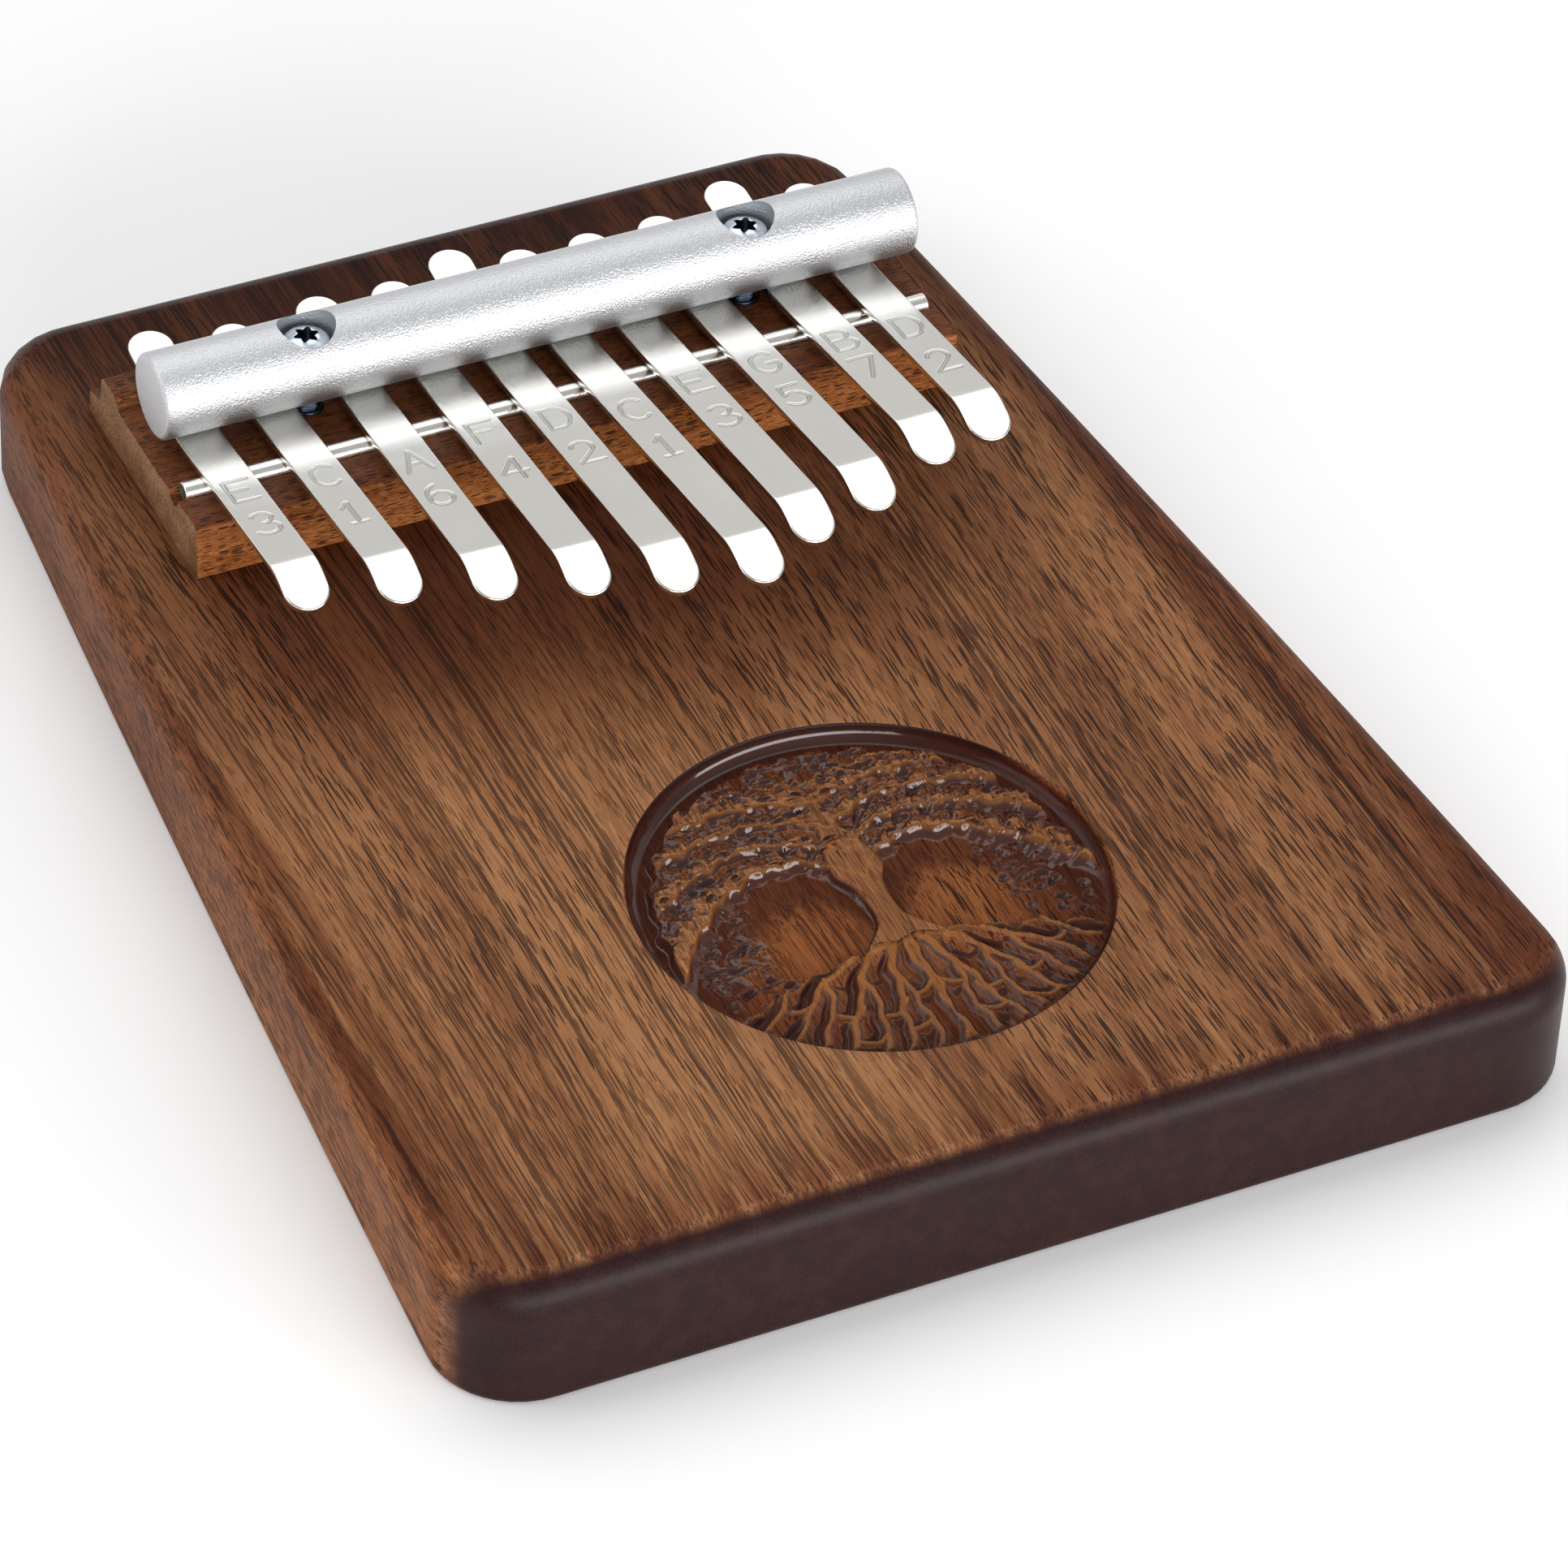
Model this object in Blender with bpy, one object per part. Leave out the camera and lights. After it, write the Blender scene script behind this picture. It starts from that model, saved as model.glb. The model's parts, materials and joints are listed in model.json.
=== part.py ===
"""Ten-tine mbira (board-type kalimba): a solid walnut board with a carved round medallion, a
hardwood bridge block with a metal rod as front bridge, a round aluminium pressure bar held down by
two screws, and ten flat spring-steel tines with bent tips.

The player's end of the board is -Y and the bar end is +Y. X runs along the bar. The origin is the
bottom centre of the board. Sizes below are in millimetres; heights called "above the board" start
at the board's top face."""

import math

import bmesh
import bpy

for old in list(bpy.data.objects):
    bpy.data.objects.remove(old, do_unlink=True)

MM = 0.001
GAP = 0.2  # clearance between pieces that rest on each other

# ---- Board: a slab that narrows towards the bar end ----------------------------------------------
BOARD_LENGTH = 162.5
BOARD_THICK = 15.5
BOARD_MID_WIDTH = 115.0
SIDE_TAPER_DEG = 4.31
SIDE_BOW = 0.5
CORNER_R = 9.5
TOP_ROUND = 4.2
BOTTOM_CHAMFER = 0.8

# ---- Medallion recess in the board's top -----------------------------------------------------------
MEDALLION_Y = -39.6
MEDALLION_R = 25.3
MEDALLION_DEPTH = 1.9
MEDALLION_COVE = 1.6

# ---- Front bridge rod, a thin tube half sunk in the block ----------------------------------------------
ROD_Y = 39.0
ROD_Z = 6.35
ROD_R = 1.17
ROD_BORE_R = 0.85
ROD_EASE = 0.12
ROD_X0 = -44.1
ROD_X1 = 43.9

# ---- Bridge block ------------------------------------------------------------------------------------
BLOCK_X0 = -45.2
BLOCK_X1 = 44.7
BLOCK_TOP = 6.0
RIDGE_TOP = 7.4
# The end profile from front to back, as (y, height above the board), split at the rod's groove.
BLOCK_FRONT = [(32.2, 0.0), (32.45, 6.0), (32.7, 6.5), (33.2, 6.7), (36.0, 6.45)]
BLOCK_BACK = [
    (42.6, 6.05), (46.0, BLOCK_TOP), (54.3, BLOCK_TOP), (55.1, 6.5), (55.5, 7.1), (56.1, RIDGE_TOP),
    (59.1, RIDGE_TOP), (59.8, 7.0), (60.1, 6.2), (60.5, 3.8), (61.2, 3.4), (63.1, 3.1), (63.5, 2.6),
    (63.6, 0.0),
]
GROOVE_STEPS = 10

# ---- Pressure bar ----------------------------------------------------------------------------------------
BAR_Y = 48.35
BAR_Z = 12.45
BAR_R = 4.86
BAR_X0 = -44.0
BAR_X1 = 45.2
BAR_CHAMFER = 0.6
COUNTERBORE_R = 3.2
COUNTERBORE_FLOOR = 13.1
BAR_HOLE_R = 1.8

# ---- Screws, and the threaded inserts that they turn into ---------------------------------------------
SCREW_X = {"left": -26.0, "right": 26.0}
SHANK_R = 1.45
SHANK_BOTTOM = -6.0
SHANK_POINT = 0.4
HEAD_R = 2.65
HEAD_TOP = 15.7
HEAD_UNDER = COUNTERBORE_FLOOR + GAP
# (share of the head's radius, distance below its top)
HEAD_CROWN = [(1.0, 1.1), (0.93, 0.6), (0.8, 0.25), (0.62, 0.0)]
STAR_R = 1.35
STAR_LOBES = 6
STAR_WAVE = 0.14
STAR_DEPTH = 1.3
SCREW_HOLE_R = 1.75
INSERT_BORE_R = 1.6
INSERT_R = 2.0
INSERT_BOTTOM = 4.6
INSERT_TOP = 6.4
INSERT_SEAT = 4.4

# ---- Tines ---------------------------------------------------------------------------------------------------
TINE_WIDTH = 5.0
TINE_THICK = 0.9
TIP_HALF_WIDTH = 0.35  # half the width of the flat left at the very end of a rounded tip
RISE = 0.135  # slope of the free part, up towards the tip
TIP_SLOPE = -0.40  # slope of the bent tip
TIP_ARC = 3.0  # length over which the slope changes
BEND_LEAD = 0.9  # how far behind the bend line the curve starts
RIDGE_CONTACT_Y = 56.1
SPLIT_GAP = 0.3  # gap between a clamped part and its free part, over the rod
# number: (centre x over the rod, yaw in degrees, y of the bend, y of the tip, y of the rear end)
TINES = {
    1: (-39.5, 1.15, 18.5, 12.9, 63.3),
    2: (-30.4, 0.7, 14.7, 9.8, 61.4),
    3: (-20.5, 1.9, 12.2, 5.9, 62.3),
    4: (-11.6, 1.4, 8.2, 2.4, 61.8),
    5: (-3.5, 0.7, 4.3, -1.2, 64.3),
    6: (4.4, -0.55, 1.9, -3.5, 61.8),
    7: (12.6, -0.5, 6.5, 1.2, 61.7),
    8: (21.1, -0.65, 9.1, 4.0, 61.7),
    9: (30.7, -1.1, 14.6, 9.5, 64.4),
    10: (38.6, -0.2, 16.4, 11.2, 61.2),
}

OVER_ROD = ROD_Z + ROD_R + GAP  # underside of a tine where it crosses the rod
UNDER_BAR = BAR_Z - BAR_R - GAP - TINE_THICK  # underside of a tine below the bar
OVER_RIDGE = RIDGE_TOP + 1.5 * GAP  # the block stands half a gap above the board


# ---- Materials ----------------------------------------------------------------------------------------------
def material(name, colour, metallic, roughness):
    made = bpy.data.materials.new(name)
    made.use_nodes = True
    shader = made.node_tree.nodes["Principled BSDF"]
    shader.inputs["Base Color"].default_value = (*colour, 1.0)
    shader.inputs["Metallic"].default_value = metallic
    shader.inputs["Roughness"].default_value = roughness
    made.diffuse_color = (*colour, 1.0)
    return made


WALNUT = material("walnut", (0.17, 0.075, 0.035), 0.0, 0.5)
BRIDGE_WOOD = material("bridge_wood", (0.23, 0.085, 0.03), 0.0, 0.5)
ALUMINIUM = material("satin_aluminium", (0.86, 0.86, 0.87), 1.0, 0.35)
NICKEL = material("polished_nickel", (0.75, 0.74, 0.72), 1.0, 0.12)
SPRING_STEEL = material("spring_steel", (0.72, 0.71, 0.69), 1.0, 0.28)
ZINC = material("zinc_screw", (0.55, 0.6, 0.66), 1.0, 0.25)
BLUED = material("blued_steel", (0.06, 0.07, 0.09), 1.0, 0.35)


# ---- Building tools ------------------------------------------------------------------------------------------
def empty(name, place, turn_deg=0.0):
    """A parent for pieces that share a place; its Z turn is in degrees."""
    holder = bpy.data.objects.new(name, None)
    holder.location = [value * MM for value in place]
    holder.rotation_euler.z = math.radians(turn_deg)
    bpy.context.scene.collection.objects.link(holder)
    return holder


def make(name, loops, surface, parent=None, place=(0, 0, 0), ring=False):
    """A closed body skinned over loops of equal length. With ring, the last loop joins the first."""
    n = len(loops[0])
    points = [[value * MM for value in point] for loop in loops for point in loop]
    faces = []
    for i in range(len(loops) if ring else len(loops) - 1):
        a, b = i * n, (i + 1) % len(loops) * n
        faces += [(a + j, a + (j + 1) % n, b + (j + 1) % n, b + j) for j in range(n)]
    if not ring:
        faces.append(tuple(range(n)))
        faces.append(tuple(range((len(loops) - 1) * n, len(loops) * n)))
    mesh = bpy.data.meshes.new(name)
    mesh.from_pydata(points, [], faces)
    shape = bmesh.new()
    shape.from_mesh(mesh)
    bmesh.ops.recalc_face_normals(shape, faces=shape.faces)
    shape.to_mesh(mesh)
    shape.free()
    obj = bpy.data.objects.new(name, mesh)
    obj.location = [value * MM for value in place]
    obj.parent = parent
    bpy.context.scene.collection.objects.link(obj)
    if surface:
        mesh.materials.append(surface)
        mesh.shade_smooth()
        mesh.set_sharp_from_angle(angle=math.radians(35))
    else:
        obj.hide_render = True
        obj.display_type = "WIRE"
    return obj


def circle(radius, count):
    turns = [2 * math.pi * (i + 0.5) / count for i in range(count)]
    return [(radius * math.cos(a), radius * math.sin(a)) for a in turns]


def upright(levels, count=48):
    """Loops about a vertical line: levels are (radius, z)."""
    return [[(u, v, z) for u, v in circle(r, count)] for r, z in levels]


def lying(levels, count):
    """Loops about a line along X: levels are (radius, x)."""
    return [[(x, u, v) for u, v in circle(r, count)] for r, x in levels]


def cut(target, cutter):
    step = target.modifiers.new("cut_" + cutter.name, "BOOLEAN")
    step.operation = "DIFFERENCE"
    step.solver = "EXACT"
    step.object = cutter


# ---- Board ----------------------------------------------------------------------------------------------------
def board_outline(inset):
    """The outline moved in by inset, anticlockwise from above."""
    half = BOARD_LENGTH / 2 - inset
    lean = math.radians(SIDE_TAPER_DEG)
    side = BOARD_MID_WIDTH / 2 - inset / math.cos(lean)
    r = CORNER_R - inset
    corner_y = half - r

    def corner(end, first, last, count=10):
        """Points round one right-hand corner, between two angles in degrees."""
        cx = side - end * corner_y * math.tan(lean) - r / math.cos(lean)
        angles = [math.radians(first + (last - first) * i / count) for i in range(count + 1)]
        return [(cx + r * math.cos(a), end * corner_y + r * math.sin(a)) for a in angles]

    front = corner(-1, -90, SIDE_TAPER_DEG)
    back = corner(1, SIDE_TAPER_DEG, 90)
    (ax, ay), (bx, by) = front[-1], back[0]
    steps = 12
    flank = []
    for i in range(1, steps):
        t = i / steps
        bow = SIDE_BOW * 4 * t * (1 - t)
        flank.append((ax + (bx - ax) * t + bow, ay + (by - ay) * t))
    right = front + flank + back
    return right + [(-x, y) for x, y in reversed(right)]


def build_board(parent):
    ease = 0.3 * BOTTOM_CHAMFER
    levels = [(BOTTOM_CHAMFER, 0.0), (ease, ease), (0.0, BOTTOM_CHAMFER)]
    steps = 6
    for i in range(steps + 1):
        a = math.radians(90 * i / steps)
        inset = TOP_ROUND * (1 - math.cos(a))
        levels.append((inset, BOARD_THICK - TOP_ROUND * (1 - math.sin(a))))
    loops = [[(x, y, z) for x, y in board_outline(inset)] for inset, z in levels]
    board = make("body_board", loops, WALNUT, parent)
    cove = [(MEDALLION_R + 0.4, 1.0), (MEDALLION_R + 0.1, 0.0)]
    steps = 5
    for i in range(1, steps + 1):
        a = math.radians(90 * i / steps)
        r = MEDALLION_R - MEDALLION_COVE * (1 - math.cos(a))
        cove.append((r, -MEDALLION_DEPTH * math.sin(a)))
    place = (0, MEDALLION_Y, BOARD_THICK)
    cut(board, make("cutter_medallion", upright(cove, 72), None, parent, place))
    return board


# ---- Bridge block -----------------------------------------------------------------------------------------------
def build_block(parent):
    reach = ROD_R + GAP
    groove = []
    for i in range(GROOVE_STEPS + 1):
        a = math.radians(180 + 180 * i / GROOVE_STEPS)
        groove.append((ROD_Y + reach * math.cos(a), ROD_Z + reach * math.sin(a)))
    profile = BLOCK_FRONT + groove + BLOCK_BACK
    loops = [[(x, y, z) for y, z in profile] for x in (BLOCK_X0, BLOCK_X1)]
    return make("bridge_block", loops, BRIDGE_WOOD, parent, (0, 0, BOARD_THICK + GAP / 2))


# ---- Rod and pressure bar -----------------------------------------------------------------------------------------
def build_rod(parent):
    levels = [
        (ROD_R - ROD_EASE, ROD_X0), (ROD_R, ROD_X0 + ROD_EASE), (ROD_R, ROD_X1 - ROD_EASE),
        (ROD_R - ROD_EASE, ROD_X1), (ROD_BORE_R, ROD_X1), (ROD_BORE_R, ROD_X0),
    ]
    place = (0, ROD_Y, BOARD_THICK + ROD_Z)
    return make("bridge_rod", lying(levels, 32), NICKEL, parent, place, ring=True)


def build_bar(parent):
    chamfer = [(BAR_CHAMFER, 0.0), (0.3 * BAR_CHAMFER, 0.3 * BAR_CHAMFER), (0.0, BAR_CHAMFER)]
    levels = [(BAR_R - down, BAR_X0 + along) for down, along in chamfer]
    levels += [(BAR_R - down, BAR_X1 - along) for down, along in reversed(chamfer)]
    place = (0, BAR_Y, BOARD_THICK + BAR_Z)
    return make("pressure_bar", lying(levels, 72), ALUMINIUM, parent, place)


# ---- Screws and inserts ---------------------------------------------------------------------------------------------
def build_screw(side, x, parent, board, block, bar):
    place = (x, BAR_Y, BOARD_THICK)
    below, above = BAR_Z - BAR_R - 1, BAR_Z + BAR_R + 1
    stepped = [
        (BAR_HOLE_R, below), (BAR_HOLE_R, COUNTERBORE_FLOOR), (COUNTERBORE_R, COUNTERBORE_FLOOR),
        (COUNTERBORE_R, above),
    ]
    cut(bar, make("cutter_bar_" + side, upright(stepped), None, parent, place))
    pilot = [
        (SCREW_HOLE_R, SHANK_BOTTOM - 0.5), (SCREW_HOLE_R, INSERT_SEAT),
        (INSERT_R + GAP, INSERT_SEAT), (INSERT_R + GAP, BLOCK_TOP + 1),
    ]
    hole = make("cutter_wood_" + side, upright(pilot, 32), None, parent, place)
    cut(board, hole)
    cut(block, hole)
    shank = [
        (SHANK_R - SHANK_POINT, SHANK_BOTTOM), (SHANK_R, SHANK_BOTTOM + SHANK_POINT),
        (SHANK_R, HEAD_UNDER), (HEAD_R, HEAD_UNDER),
    ]
    crown = [(HEAD_R * share, HEAD_TOP - down) for share, down in HEAD_CROWN]
    screw = make("screw_" + side, upright(shank + crown), ZINC, parent, place)
    star = []
    for i in range(STAR_LOBES * 6):
        a = 2 * math.pi * i / (STAR_LOBES * 6)
        r = STAR_R * (1 - STAR_WAVE + STAR_WAVE * math.cos(STAR_LOBES * a))
        star.append((r * math.cos(a), r * math.sin(a)))
    socket = [[(u, v, z) for u, v in star] for z in (HEAD_TOP - STAR_DEPTH, HEAD_TOP + 1)]
    cut(screw, make("cutter_star_" + side, socket, None, parent, place))
    collar = [
        (INSERT_BORE_R, INSERT_BOTTOM), (INSERT_R, INSERT_BOTTOM), (INSERT_R, INSERT_TOP),
        (INSERT_BORE_R, INSERT_TOP),
    ]
    make("insert_" + side, upright(collar, 32), BLUED, parent, place, ring=True)


# ---- Tines ----------------------------------------------------------------------------------------------------------
def sprung(share):
    """The bent line of a strip from the point where it is pressed down (0) to its support (1)."""
    return (3 * share * share - share**3) / 2


def tail_height(y):
    """Underside of a clamped part: over the rod, down under the bar, and up over the ridge."""
    support, height = (ROD_Y, OVER_ROD) if y < BAR_Y else (RIDGE_CONTACT_Y, OVER_RIDGE)
    span, lift = support - BAR_Y, height - UNDER_BAR
    share = (y - BAR_Y) / span
    if share <= 1:
        return UNDER_BAR + lift * sprung(share)
    return height + 1.5 * lift / span * (y - support)


def reed_height(y, bend):
    """Underside of a free part: straight up from the rod, then bent down at the tip."""
    past = bend + BEND_LEAD - y
    z = OVER_ROD + RISE * (ROD_Y - y)
    if past > 0:
        arc = min(past, TIP_ARC)
        z -= (RISE - TIP_SLOPE) * (arc * arc / (2 * TIP_ARC) + past - arc)
    return z


def strip(name, stations, height, end, parent):
    """A flat strip along Y in the parent's frame, round at the station called end."""
    r = TINE_WIDTH / 2
    loops = []
    for y in stations:
        inside = min(r, abs(y - end))
        w = max(TIP_HALF_WIDTH, math.sqrt(r * r - (r - inside) ** 2))
        slope = (height(y + 0.05) - height(y - 0.05)) / 0.1
        level = TINE_THICK / math.hypot(1, slope)
        corners = ((-w, 0.0), (w, 0.0), (w, level), (-w, level))
        loops.append([(x, y - ROD_Y - slope * up, height(y) - OVER_ROD + up) for x, up in corners])
    return make(name, loops, SPRING_STEEL, parent, (0, 0, -TINE_THICK / 2))


def end_stations(end, inward, count=6):
    r = TINE_WIDTH / 2
    angles = [math.radians(90 * i / count) for i in range(count + 1)]
    return [end + inward * r * (1 - math.cos(a)) for a in angles]


def build_tine(number, x, yaw, bend, tip, rear, parent):
    """Both parts hang from an empty on the line about which the free part swings."""
    place = (x, ROD_Y, BOARD_THICK + OVER_ROD + TINE_THICK / 2)
    holder = empty(f"tine_{number}", place, -yaw)
    holder.parent = parent
    under_bar = [BAR_Y + step for step in (-6.5, -4.5, -3, -2, -1, 0, 1, 2, 3, 4.5, 6.5)]
    tail = [ROD_Y + SPLIT_GAP / 2, *under_bar, RIDGE_CONTACT_Y, *end_stations(rear, -1)[::-1]]
    strip(f"tine_{number}_tail", tail, tail_height, rear, holder)
    arc_steps = 6
    start = bend + BEND_LEAD
    curve = [start - TIP_ARC * i / arc_steps for i in range(arc_steps + 1)]
    ends = end_stations(tip, 1)[::-1]
    curve = [y for y in curve if y > ends[0] + 0.1]
    reed = [ROD_Y - SPLIT_GAP / 2, (ROD_Y + start) / 2, *curve, *ends]
    strip(f"tine_{number}_reed", reed, lambda y: reed_height(y, bend), tip, holder)


# ---- The whole instrument ------------------------------------------------------------------------------------------
mbira = empty("mbira", (0, 0, 0))
board = build_board(mbira)
block = build_block(mbira)
build_rod(mbira)
bar = build_bar(mbira)
for side, screw_x in SCREW_X.items():
    build_screw(side, screw_x, mbira, board, block, bar)
for number, sizes in TINES.items():
    build_tine(number, *sizes, mbira)
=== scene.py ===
"""The looks of a ten-tine mbira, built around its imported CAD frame.

Sizes are in millimetres and become metres where a mesh or a material is made. The lights and the
camera's distance are in metres. The main places come from the frame's own boxes and joints."""

import json
import math

import bmesh
import bpy
import numpy as np
from mathutils import Matrix, Vector


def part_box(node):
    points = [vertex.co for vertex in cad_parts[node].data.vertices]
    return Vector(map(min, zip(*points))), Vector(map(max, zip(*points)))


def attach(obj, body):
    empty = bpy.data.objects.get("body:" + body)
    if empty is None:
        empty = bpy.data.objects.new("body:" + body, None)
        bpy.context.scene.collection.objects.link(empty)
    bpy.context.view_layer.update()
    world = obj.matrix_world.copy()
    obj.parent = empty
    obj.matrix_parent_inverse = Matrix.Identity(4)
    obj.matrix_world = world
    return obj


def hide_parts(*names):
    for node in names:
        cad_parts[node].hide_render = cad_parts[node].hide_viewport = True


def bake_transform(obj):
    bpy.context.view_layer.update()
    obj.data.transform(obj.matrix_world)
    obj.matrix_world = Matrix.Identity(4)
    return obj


MM = 0.001
FAR_AWAY = 99.0  # more than any distance on a piece

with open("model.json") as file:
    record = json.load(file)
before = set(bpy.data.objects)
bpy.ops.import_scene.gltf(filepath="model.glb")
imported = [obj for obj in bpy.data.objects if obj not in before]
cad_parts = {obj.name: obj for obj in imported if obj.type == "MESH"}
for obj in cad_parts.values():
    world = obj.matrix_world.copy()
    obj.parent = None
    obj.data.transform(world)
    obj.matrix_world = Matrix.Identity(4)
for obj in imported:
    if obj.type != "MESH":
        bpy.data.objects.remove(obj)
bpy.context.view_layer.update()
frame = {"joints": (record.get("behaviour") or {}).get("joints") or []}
JOINTS = {joint["name"]: joint for joint in frame["joints"]}


def box_mm(node):
    low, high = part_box(node)
    return [value / MM for value in low], [value / MM for value in high]


# ---- Places and sizes read from the frame ----
BOARD_LOW, BOARD_HIGH = box_mm("body_board")
BLOCK_LOW, BLOCK_HIGH = box_mm("bridge_block")
ROD_LOW, ROD_HIGH = box_mm("bridge_rod")
BAR_LOW, BAR_HIGH = box_mm("pressure_bar")
SCREW_X = {side: sum(corner[0] for corner in box_mm("screw_" + side)) / 2 for side in ("left", "right")}
TOP = BOARD_HIGH[2]

# ---- Board ----
BOARD_LENGTH = BOARD_HIGH[1] - BOARD_LOW[1]
BOARD_MID_WIDTH = 115.0
SIDE_TAPER_DEG = 4.31
SIDE_BOW = 0.5  # how far a long side bulges at its middle
CORNER_R = 9.5
TOP_ROUND = 4.2
BOTTOM_CHAMFER = 0.8
CLEAR = 0.01  # keeps the piece inside the frame's own board
SUPPORT = 0.35  # width of the narrow rings that keep a flat face's shading flat
RAYS = 576  # points round the medallion and round the board's outline
RELIEF_RINGS = 140
OUTLINE_STEPS = 24  # steps along a corner, and along a side

# ---- Medallion ----
MEDALLION_Y = -39.6
MEDALLION_R = 25.3
EDGE_EASE = 0.25
SCALES = 900  # leaf scales over the crown

# ---- Bridge block, rod, bar ----
BLOCK_TOP = 6.0
RIDGE_TOP = 7.4
ROD_Y = (ROD_LOW[1] + ROD_HIGH[1]) / 2
ROD_Z = (ROD_LOW[2] + ROD_HIGH[2]) / 2 - TOP
ROD_R = (ROD_HIGH[2] - ROD_LOW[2]) / 2
ROD_WALL = 0.3
BAR_Y = (BAR_LOW[1] + BAR_HIGH[1]) / 2
BAR_Z = (BAR_LOW[2] + BAR_HIGH[2]) / 2 - TOP
BAR_R = (BAR_HIGH[1] - BAR_LOW[1]) / 2
BAR_ROUND = 0.6
BAR_HOLE_R = 1.8
COUNTERBORE_R = 3.2
COUNTERBORE_FLOOR = 13.1  # above the board
SCREW_TIP_R = 1.05
THREAD_R, THREAD_ROOT_R, THREAD_PITCH = 1.45, 1.22, 0.5
THREAD_LOW, THREAD_HIGH = -1.0, 9.0  # from the board's top
SOCKET_LOBES, SOCKET_R, SOCKET_DEPTH = 6, 1.42, 1.3
INSERT_BORE_R = 1.5

# ---- Tines ----
TINE_HALF = 2.5
TINE_THICK = 0.9
TIP_SLOPE = -0.40
TIP_ARC = 3.0
BEND_LEAD = 0.9
BEND_TO_TIP = 5.45
RIDGE_CONTACT_Y = 56.1
# Each tine's stamped note, and the Y of the middle of its letter and of its digit.
MARKS = [
    ("E3", 33.6, 26.4),
    ("C1", 32.3, 24.3),
    ("A6", 30.8, 23.5),
    ("F4", 32.9, 24.7),
    ("D2", 32.0, 24.4),
    ("C1", 29.8, 21.7),
    ("E3", 32.2, 24.4),
    ("G5", 32.3, 24.9),
    ("B7", 32.9, 26.6),
    ("D2", 32.3, 24.3),
]


# ---- Mesh tools ----
def add_object(name, data):
    obj = bpy.data.objects.new(name, data)
    bpy.context.scene.collection.objects.link(obj)
    return obj


def shade(mesh, sharp_deg):
    """Smooth shading, with the edges sharper than an angle left sharp."""
    mesh.shade_smooth()
    mesh.set_sharp_from_angle(angle=math.radians(sharp_deg))


def mesh_object(name, points, faces, materials, sharp_deg=35.0, marks=None):
    """A smooth-shaded object from points in millimetres. Faces point outward. marks is (name, one value
    for each point), kept as an attribute that materials can read."""
    mesh = bpy.data.meshes.new(name)
    mesh.from_pydata((np.asarray(points, float) * MM).tolist(), [], faces)
    if marks:
        values = np.asarray(marks[1], np.float32)
        mesh.attributes.new(marks[0], "FLOAT", "POINT").data.foreach_set("value", values)
    shape = bmesh.new()
    shape.from_mesh(mesh)
    bmesh.ops.remove_doubles(shape, verts=shape.verts, dist=1e-7)
    bmesh.ops.dissolve_degenerate(shape, edges=shape.edges, dist=1e-8)
    bmesh.ops.recalc_face_normals(shape, faces=shape.faces)
    shape.to_mesh(mesh)
    shape.free()
    for made in materials:
        mesh.materials.append(made)
    shade(mesh, sharp_deg)
    return add_object(name, mesh)


def tube_faces(count, n, ring=False):
    """The side faces of a tube over count loops of n points."""
    faces = []
    for i in range(count if ring else count - 1):
        a, b = i * n, (i + 1) % count * n
        faces += [(a + j, a + (j + 1) % n, b + (j + 1) % n, b + j) for j in range(n)]
    return faces


def skin(loops, ring=False):
    """(points, faces) of a tube over loops of equal length, closed by its ends or into a ring."""
    n, count = len(loops[0]), len(loops)
    faces = tube_faces(count, n, ring)
    if not ring:
        faces += [tuple(range(n)), tuple(range((count - 1) * n, count * n))]
    return [point for loop in loops for point in loop], faces


def arc(cx, cy, r, first, last, count):
    """Points of a circular arc between two angles in degrees."""
    angles = [math.radians(first + (last - first) * i / count) for i in range(count + 1)]
    return [(cx + r * math.cos(a), cy + r * math.sin(a)) for a in angles]


def circle(radius, count):
    turns = [2 * math.pi * (i + 0.5) / count for i in range(count)]
    return [(radius * math.cos(a), radius * math.sin(a)) for a in turns]


def upright(x, y, levels, count):
    """Level circles round an upright axis, from (radius, height) pairs."""
    return [[(x + u, y + v, z) for u, v in circle(r, count)] for r, z in levels]


def lying(y, z, levels, count):
    """Circles round an axis along X, from (radius, x) pairs."""
    return [[(x, y + u, z + v) for u, v in circle(r, count)] for r, x in levels]


def apply_modifiers(obj):
    """Turns the object's modifiers into its own mesh."""
    graph = bpy.context.evaluated_depsgraph_get()
    mesh = bpy.data.meshes.new_from_object(obj.evaluated_get(graph))
    obj.modifiers.clear()
    obj.data = mesh


def cut(target, cutter):
    step = target.modifiers.new(cutter.name, "BOOLEAN")
    step.operation = "DIFFERENCE"
    step.solver = "MANIFOLD"
    step.object = cutter
    apply_modifiers(target)
    bpy.data.objects.remove(cutter)


def soften(obj, width, angle_deg):
    """Rounds the edges sharper than an angle."""
    step = obj.modifiers.new("soften", "BEVEL")
    step.width = width * MM
    step.segments = 3
    step.limit_method = "ANGLE"
    step.angle_limit = math.radians(angle_deg)
    apply_modifiers(obj)
    shade(obj.data, 40)


def smoothstep(low, high, value):
    t = np.clip((value - low) / (high - low), 0, 1)
    return t * t * (3 - 2 * t)


# ---- Material tools ----
def add_node(tree, kind, inputs=None, **settings):
    """A node with its settings, and with a value or a link for each input named."""
    made = tree.nodes.new(kind)
    for key, value in settings.items():
        setattr(made, key, value)
    for key, value in (inputs or {}).items():
        if isinstance(value, bpy.types.NodeSocket):
            tree.links.new(value, made.inputs[key])
        else:
            made.inputs[key].default_value = value
    return made


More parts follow.
